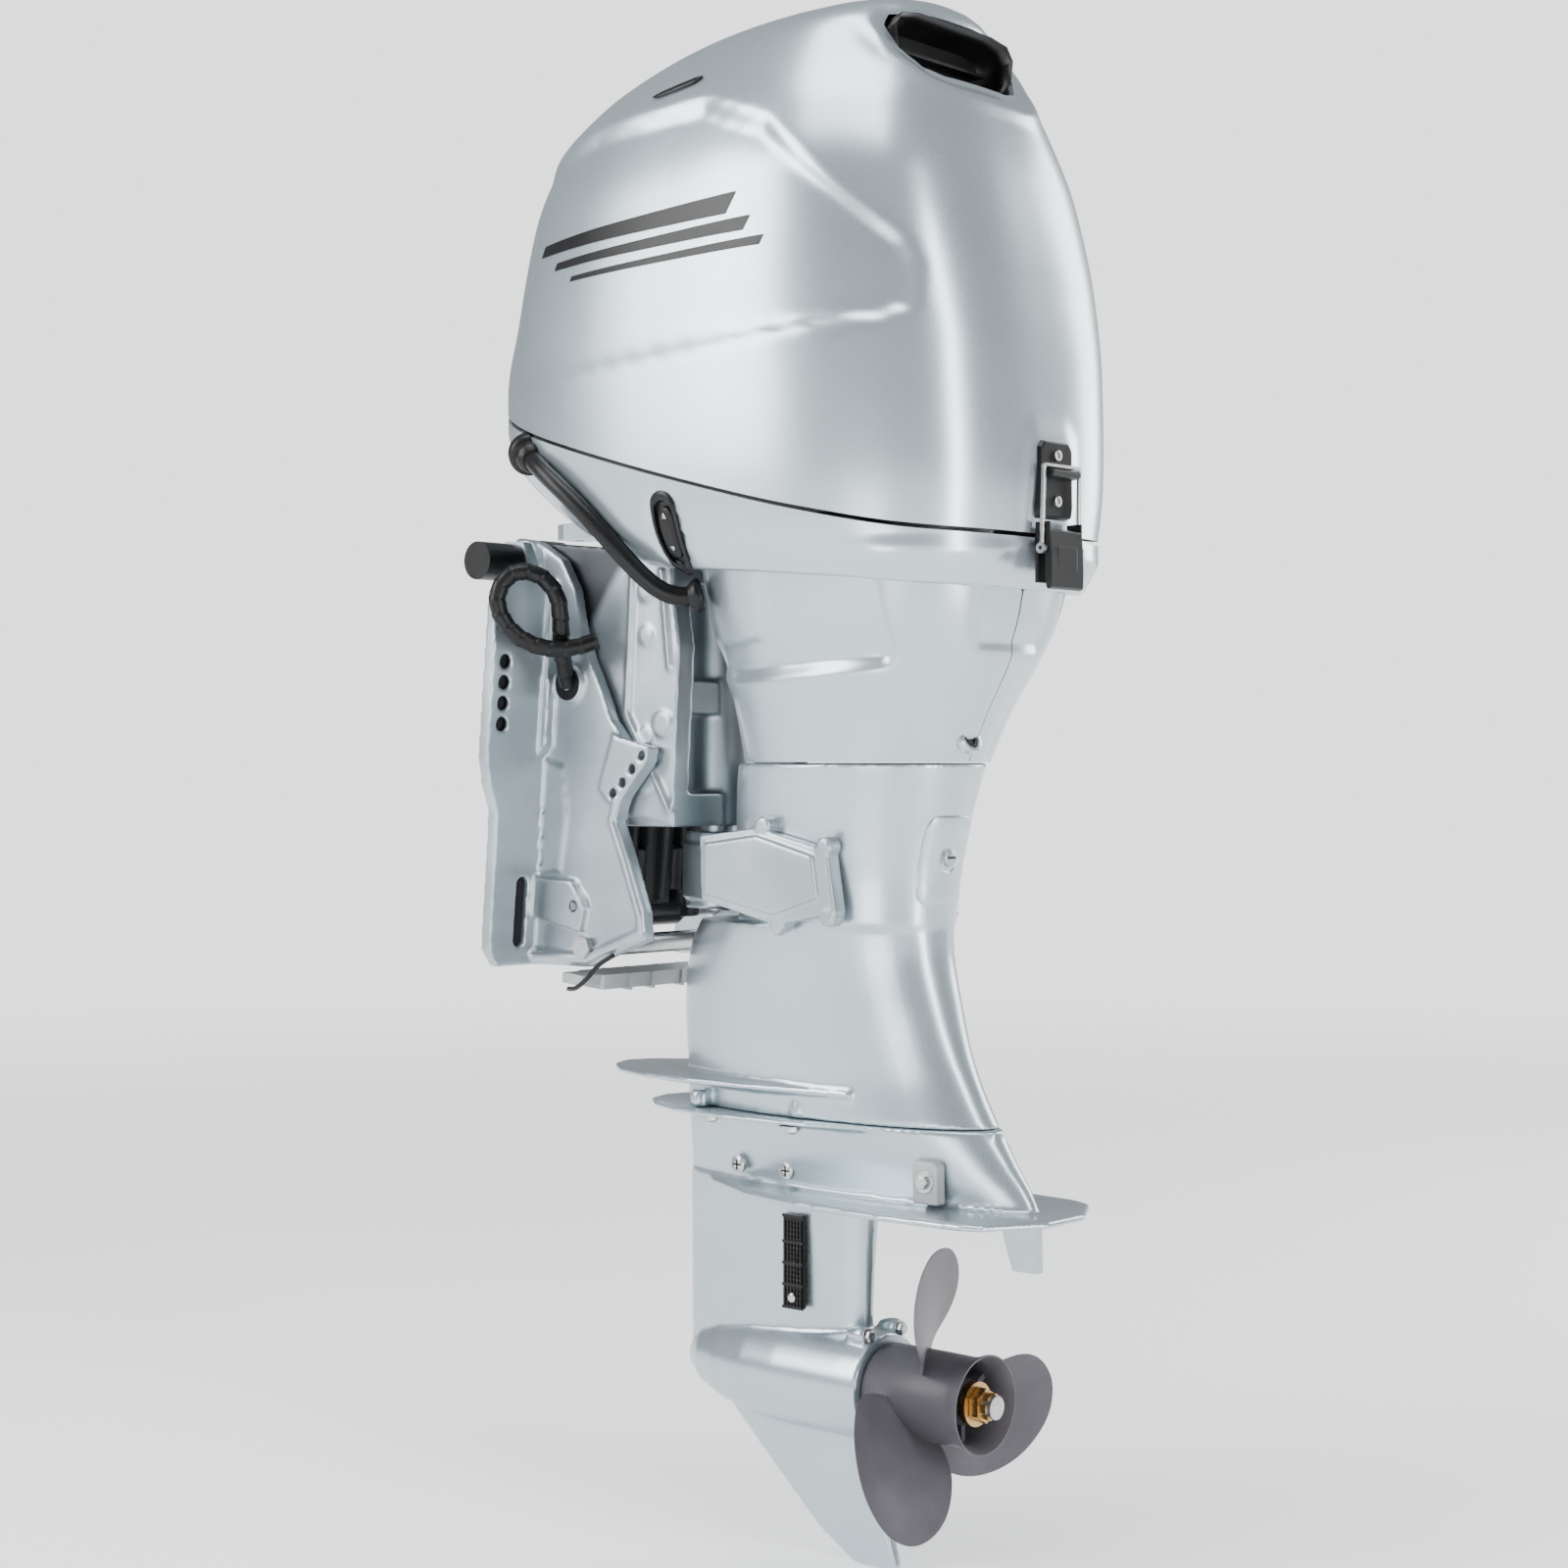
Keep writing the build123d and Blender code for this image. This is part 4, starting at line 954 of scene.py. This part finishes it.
def makePropeller(s):
    lathe = [(0, s["hub"] - 5), (0, s["hub"] - 1), (2, s["hub"]), (60, s["hub"]), (88, s["hub"] - 0.4),
             (96, s["hub"] + 0.6), (104, s["hub"] + 3.6), (106, s["hub"] + 3.8), (106, s["hub"] + 2.2),
             (96, s["hub"] - 3.5), (84, s["hub"] - 4.6), (4, s["hub"] - 5)]
    hub = turned(lathe + lathe[:1], (s["front"], 0, 0), (1, 0, 0), 72, caps=False)
    sleeve = [(2, 10.2), (2, 19), (4, 20), (84, 20), (89, 18.5), (89, 10.2)]
    hub += turned(sleeve + sleeve[:1], (s["front"], 0, 0), (1, 0, 0), 48, caps=False)
    for i in range(3):
        rib = box(s["front"] + 4, s["front"] + 82, -2.6, 2.6, 18, s["hub"] - 3)
        hub += rib.placed(Matrix.Rotation(math.radians(120 * i + 60), 3, "X"))
    place = Matrix.Translation((0, 0, s["level"]))
    piece("propellerHub", hub.placed(place), "propeller_paint", "prop", ["propeller"])
    for i in range(3):
        turn = Matrix.Rotation(-math.radians(s["phase"] + 120 * i), 4, "X")
        one = bladeShape(s).placed(place @ turn @ Matrix.Translation((s["middle"], 0, 0)))
        piece(f"propellerBlade.{i + 1}", one, "propeller_paint", "prop", (),
              [("SUBSURF", {"levels": 2, "render_levels": 2})])


makePropeller(propellerSettings)
print("propeller made")


# castings: the frame's own solids with their details added, then melted together into one cast skin

def makeCasting(name, nodeName, body, finish, extra, voxel, smoothing):
    return piece(name, nodeShape(nodeName) + extra, finish, body, [nodeName], cast(voxel, smoothing))


bracketSettings = {
    "outer": 105, "voxel": 1.8, "smoothing": 5, "boltSide": -163.5, "boltPitch": 19,
    "slotAt": (-125.4, -202), "slotReach": 26, "stopHoles": [(136, -46), (125, -59), (114, -72), (103, -83)]}


def bracketDetails(s):
    y = -s["outer"]
    rim = [(2, -250), (8, -243), (83, -236), (150, -204), (147, -188), (124, -143), (104, -108), (109, -87)]
    shape = Shape()
    for (u0, s0), (u1, s1) in zip(rim, rim[1:]):
        shape += rod((u0, y - 1, s0), (u1, y - 1, s1), 5, 16)
    shape += prism([(14, -60), (34, -66), (44, -110), (40, -160), (16, -165)], y - 2.2, y + 1, "y")
    shape += turned([(0, 12), (5, 12), (7, 10)], (66, y, -190), (0, -1, 0), 32)
    shape += turned([(0, 17), (3, 17), (4.5, 15)], (37, y, 11), (0, -1, 0), 32)
    return leaned(shape)


def slotOutline(s, radius):
    y, z = s["slotAt"]
    turns = [2 * math.pi * i / 24 for i in range(24)]
    return [(y + radius * math.cos(a), z + radius * math.sin(a) + math.copysign(s["slotReach"], math.sin(a)))
            for a in turns]


def bracketHoles(side, s):
    holes = prism(slotOutline(s, 6.6), -6, 20, "x")
    for row in range(4):
        level = (row - 1.5) * s["boltPitch"]
        holes += rod((-6, s["boltSide"], level), (20, s["boltSide"], level), 6.6, 28)
    for u, v in s["stopHoles"]:
        holes += rod((u, -125, v), (u, -80, v), 4.5, 24)
    holes += rod((66, -112, -190), (66, -106, -190), 5.5, 24)
    return leaned(holes if side < 0 else holes.mirrored())


def holeShadeDiscs(side, s):  # black discs sunk in the transom holes and the slot: painted shade for the holes' dark inside
    shape = prism(slotOutline(s, 6.5), 6.4, 7.4, "x")
    cup = [(0, 0.4), (0, 6.55), (3.4, 6.55), (3.4, 5.9), (1, 5.7), (1, 0.4)]
    for row in range(4):
        shape += turned(cup, (6.2, s["boltSide"], (row - 1.5) * s["boltPitch"]), (1, 0, 0), 28)
    return leaned(shape if side < 0 else shape.mirrored())


for side, bodySide in sideNames.items():
    details = bracketDetails(bracketSettings)
    if side > 0:
        details = details.mirrored()
    bracket = makeCasting("clampBracket" + bodySide, "clamp_bracket_" + bodySide.lower(), "clamp", "satin_casting",
                          details, bracketSettings["voxel"], bracketSettings["smoothing"])
    bake(bracket)
    cut(bracket, bracketHoles(side, bracketSettings))
    bracket.data.set_sharp_from_angle(angle=math.radians(40))
    # painted shade: black discs stand in for the dark inside of the bolt holes
    piece("boltHolePaintedShade" + bodySide, holeShadeDiscs(side, bracketSettings), "black_rubber", "clamp")


def swivelDetails():
    shape = Shape()
    for side in (-1, 1):
        y = side * 90
        way = (0, side, 0)
        for x, z, r in ((120, 92, 11), (118, -78, 13), (140, -30, 12)):
            shape += turned([(0, r), (2, r), (3, r - 1.5)], (x, y - side, z), way, 32)
        for start, end in (((104, 110), (96, -20)), ((96, -20), (150, -108)), ((140, 110), (150, 20))):
            shape += rod((start[0], y, start[1]), (end[0], y, end[1]), 3.4, 14)
    return shape


makeCasting("swivelCasting", "swivel_bracket", "swivel", "swivel_casting", swivelDetails(), 1.9, 5)
makeCasting("lowerYoke", "lower_yoke", "motor", "satin_casting", Shape(), 1.6, 4)
makeCasting("trimCylinder", "trim_cylinder", "trim_barrel", "dark_enamel", Shape(), 1.5, 4)
for side, name in sideNames.items():
    face = prism([(190, -136), (252, -128), (316, -144), (322, -180), (271, -196), (190, -180)], -90.5, -84, "y", 0.06)
    for x, z in ((256, -119.5), (326, -136), (273, -204), (330, -196)):
        face += turned([(0, 8.5), (15, 8.5), (16.5, 7)], (x, -71, z), (0, -1, 0), 24)
    makeCasting("mountCover" + name, "mount_cover_" + name.lower(), "motor", "satin_casting",
                face if side < 0 else face.mirrored(), 1.2, 14)
print("castings made")


# tubes that the object holds at both ends

def tubeLine(route, order=3):
    curve = bpy.data.curves.new("route", "CURVE")
    curve.dimensions = "3D"
    line = curve.splines.new("NURBS")
    line.points.add(len(route) - 1)
    for point, place in zip(line.points, route):
        point.co = [c * mm for c in place] + [1]
    line.order_u = order
    line.use_endpoint_u = True
    line.resolution_u = 12
    holder = bpy.data.objects.new("route", curve)
    scene.collection.objects.link(holder)
    bpy.context.view_layer.update()
    mesh = bpy.data.meshes.new_from_object(holder.evaluated_get(bpy.context.evaluated_depsgraph_get()))
    points = [v.co * 1000 for v in mesh.vertices]
    bpy.data.objects.remove(holder)
    return points


def spaced(points, step):
    out, carry = [points[0]], 0.0
    for a, b in zip(points, points[1:]):
        span = (b - a).length
        while carry + span >= step:
            a = a.lerp(b, (step - carry) / span)
            span = (b - a).length
            carry = 0.0
            out.append(a)
        carry += span
    return out + [points[-1]]


def tubeShape(points, radius, segments=20):
    up = Vector((0, 0, 1))
    side = (points[1] - points[0]).cross(up).normalized()
    rings, along = [], 0.0
    for i, p in enumerate(points):
        way = (points[min(i + 1, len(points) - 1)] - points[max(i - 1, 0)]).normalized()
        side = (side - way * side.dot(way)).normalized()
        other = way.cross(side)
        along += (p - points[i - 1]).length if i else 0
        rings.append([p + (side * math.cos(a) + other * math.sin(a)) * radius(along, a)
                      for a in (2 * math.pi * k / segments for k in range(segments))])
    return ringed(rings)


hoseSettings = {
    "route": [(42, -160, 213), (56, -170, 206), (82, -178, 190), (121, -172, 158), (151, -157, 121),
              (168, -144, 98), (182, -133, 84), (197, -121, 79), (209, -111, 82)],
    "radius": 8.4}


def makeHose(s):
    line = spaced(tubeLine(s["route"]), 3)
    piece("sideHose", tubeShape(line, lambda along, a: s["radius"], 28), "black_rubber", "motor", ["side_hose"])
    boot = (line[1] - line[0]).normalized()
    profile = [(-9, 15), (-6, 19), (2, 19.4), (5, 18), (7, 14.5), (12, 13.6), (15, 12.2), (18, 9.2), (18, 8.5)]
    shape = turned(profile, line[0], boot, 36)
    disc = (line[-1] - line[-2]).normalized()
    shape += turned([(-12, 8.5), (-12, 10.5), (-9, 13), (-6, 15), (-3, 15.6), (0, 14)], line[-1], disc, 36)
    piece("hoseBoots", shape, "black_rubber", "motor", ["cover_grommets"])


harnessSettings = {
    "route": [(38, -108, 8), (43, -119, 22), (50, -129, 42), (57, -136, 66), (58, -141, 88), (48, -152, 105),
              (35, -168, 109), (25, -179, 98), (22, -183, 80), (27, -178, 61), (38, -167, 46), (51, -150, 38),
              (67, -129, 38), (80, -113, 46)],
    "radius": 7.2, "wrap": 14}


def makeHarness(s):
    def wrapped(along, a):
        place = ((along + a * 1.6) / s["wrap"]) % 1.0
        return s["radius"] + 1.1 * (1 - place) * softStep(0, 0.08, place)
    line = spaced(tubeLine(s["route"]), 1.1)
    piece("trimHarness", tubeShape(line, wrapped, 26), "black_rubber", "clamp", ["trim_harness"])


makeHose(hoseSettings)
makeHarness(harnessSettings)
print("hose and harness made")


# latch, switch and small fittings

def latchPieces():
    plate = box(501, 504.4, -22, 22, 84, 121)
    for side in (-1, 1):
        y0, y1 = sorted((side * 21, side * 23.5))
        plate += box(502.4, 517, y0, y1, 112, 134)
    piece("latchBase", plate, "black_plastic", "motor", ["latch_base"], edged(0.8))
    outline = [(513, 80), (515, 78), (518.6, 80), (519, 92), (518.4, 112), (517, 127), (513, 128), (511, 120)]
    lever = prism(outline, -23, 23, "y") + prism([(517, 82), (519, 92), (518.9, 112), (517, 118)], -14, 14, "y")
    lever += rod((511, -24, 126), (511, 24, 126), 2.4, 20) + rod((511, -28.4, 112), (511, 28.4, 112), 1.9, 16)
    piece("latchLever", lever, "black_plastic", "lever", ["latch_lever"], edged(1.3))
    loop = Shape()
    for side in (-1, 1):
        loop += rod((511, side * 26, 108.5), (512.6, side * 25, 181), 2.0, 16)
        loop += turned([(-2, 2.2), (-2, 4.5), (2, 4.5), (2, 2.2)], (511, side * 26, 112), (0, 1, 0), 24)
    loop += rod((512.8, -25, 180.4), (512.8, 25, 180.4), 2.0, 16)
    piece("latchBail", loop, "steel", "bail", ["latch_bail"])
    catch = prism([(-22, 137), (22, 137), (24, 146), (23, 197), (18, 203), (-18, 203), (-23, 197), (-24, 146)],
                  499, 508, "x", 0.06)
    catch += prism([(507, 170), (518, 171.6), (519, 176.6), (514, 178), (507, 178)], -20, 20, "y")
    piece("latchCatch", catch, "black_plastic", "lid", ["latch_catch"], edged(1.4))
    screws = Shape()
    for z in (152, 190):
        screws += turned([(0, 4.6), (2.0, 4.6), (2.8, 3.6), (2.8, 2.0), (1.2, 1.9)], (507.6, 0, z), (1, 0, 0), 24)
    piece("catchScrews", screws, "steel", "lid")


latchPieces()


switchSettings = {"at": (219, 132), "half": (11.5, 27)}


def ovalPatch(s, layers):  # rings round the switch, each a share of its size and a height over the skin
    x0, z0 = s["at"]
    a, b = s["half"]
    rings = []
    for share, proud in layers:
        ring = []
        for i in range(44):
            turn = 2 * math.pi * i / 44
            c, d = math.cos(turn), math.sin(turn)
            straight = (b - a) * max(-1, min(1, d * 2.2))
            x, z = x0 + a * share * c, z0 + (a * d + straight) * share
            ring.append(onSide(traySettings["sections"], x, z, -1, proud))
        rings.append(ring)
    return ringed(rings)


def makeSwitch(s):
    bezel = ovalPatch(s, [(1.3, -2), (1.3, 0.6), (1.24, 1.6), (1.08, 1.7), (1.0, 0.9), (0.96, -3.2),
                          (0.5, -3.2), (0.06, -3.2)])
    piece("switchBezel", bezel, "black_plastic", "motor")
    rocker = ovalPatch(s, [(0.78, -2.9), (0.78, -0.9), (0.72, -0.2), (0.40, 0.5), (0.1, 0.1), (0.03, 0.1)])
    piece("tiltSwitch", rocker, "black_rubber", "switch", ["tilt_switch"])
    marks = Shape()
    for sign in (-1, 1):  # an arrowhead for each way
        tip = []
        for dx, dz in ((0, 17), (3.2, 11.5), (-3.2, 11.5)):
            tip.append(onSide(traySettings["sections"], s["at"][0] + dx, s["at"][1] + sign * dz, -1, 0.75))
        marks += Shape(tip, [(0, 1, 2)])
    piece("switchArrows", marks, "steel", "switch", (), [("SOLIDIFY", {"thickness": 0.0004, "offset": 0})])


makeSwitch(switchSettings)
print("latch and switch made")


def domeMesh():
    rings = []
    for k in range(19):
        a = math.radians(-4 + 94 * k / 18)
        rings.append([(25000 * math.cos(a) * math.cos(t), 25000 * math.cos(a) * math.sin(t), 25000 * math.sin(a))
                      for t in (2 * math.pi * i / 64 for i in range(64))])
    shape = ringed(rings, caps=False)
    mesh = bpy.data.meshes.new("studioBackdrop")
    mesh.from_pydata([tuple(c * mm for c in p) for p in shape.points], [], [tuple(reversed(f)) for f in shape.faces])
    return mesh


def makeStage():
    rings = [[(r * math.cos(a), r * math.sin(a), -770.5) for a in (2 * math.pi * i / 64 for i in range(64))]
             for r in (1500, 30000)]
    shape = ringed(rings, caps=False)
    shape.faces.append(tuple(range(64)))
    mesh = bpy.data.meshes.new("studioFloor")
    mesh.from_pydata([tuple(c * mm for c in p) for p in shape.points], [], shape.faces)
    floor = bpy.data.objects.new("studioFloor", mesh)
    scene.collection.objects.link(floor)
    f = Finish("studioFloor", roughness=0.7)
    f.set("Base Color", f.blend(f.noise(0.7, 2.0), (0.86, 0.87, 0.88, 1), (0.90, 0.905, 0.91, 1)))
    mesh.materials.append(f.material)
    across = f.node("ShaderNodeVectorMath", {"operation": "LENGTH"}, {0: f.coords}, "Value")
    f.set("Emission Color", f.blend(f.between(across, 1.0, 6.5), (0.30, 0.303, 0.306, 1), (0.86, 0.87, 0.88, 1)))
    f.set("Emission Strength", 2.0)
    dome = bpy.data.objects.new("studioBackdrop", domeMesh())
    scene.collection.objects.link(dome)
    for kind in ("visible_diffuse", "visible_glossy", "visible_transmission", "visible_shadow"):
        setattr(dome, kind, False)
    g = Finish("studioBackdrop", roughness=1.0)
    g.set("Base Color", (0, 0, 0, 1))
    g.set("Emission Color", (0.955, 0.965, 0.975, 1))
    g.set("Emission Strength", 2.15)
    dome.data.materials.append(g.material)
    world = bpy.data.worlds.new("studioWorld")
    world.use_nodes = True
    world.node_tree.nodes["Background"].inputs[0].default_value = (0.93, 0.96, 1.0, 1)
    world.node_tree.nodes["Background"].inputs[1].default_value = 0.42
    scene.world = world


def softLight(name, place, aim, size, power, colour=(1, 1, 1)):
    data = bpy.data.lights.new(name, "AREA")
    data.shape = "RECTANGLE"
    data.size, data.size_y = size
    data.energy = power
    data.color = colour
    lamp = bpy.data.objects.new(name, data)
    lamp.location = place
    lamp.rotation_euler = (Vector(aim) - Vector(place)).to_track_quat("-Z", "Y").to_euler()
    scene.collection.objects.link(lamp)


makeStage()
softLight("keyLeft", (-1.3, -2.4, 1.3), (0.2, 0, 0.1), (1.3, 2.2), 105)
softLight("aftStrip", (2.7, -0.35, 0.5), (0.3, 0, 0), (0.34, 2.6), 48)
softLight("topSoft", (0.5, -0.7, 2.5), (0.2, 0, 0.3), (1.8, 1.4), 62)
softLight("starboardFill", (1.0, 2.8, 0.9), (0.2, 0, 0), (1.2, 2.0), 60)
softLight("lowFill", (0.9, -2.4, -0.5), (0.25, 0, -0.5), (1.0, 0.7), 14)
print("stage and lights made")
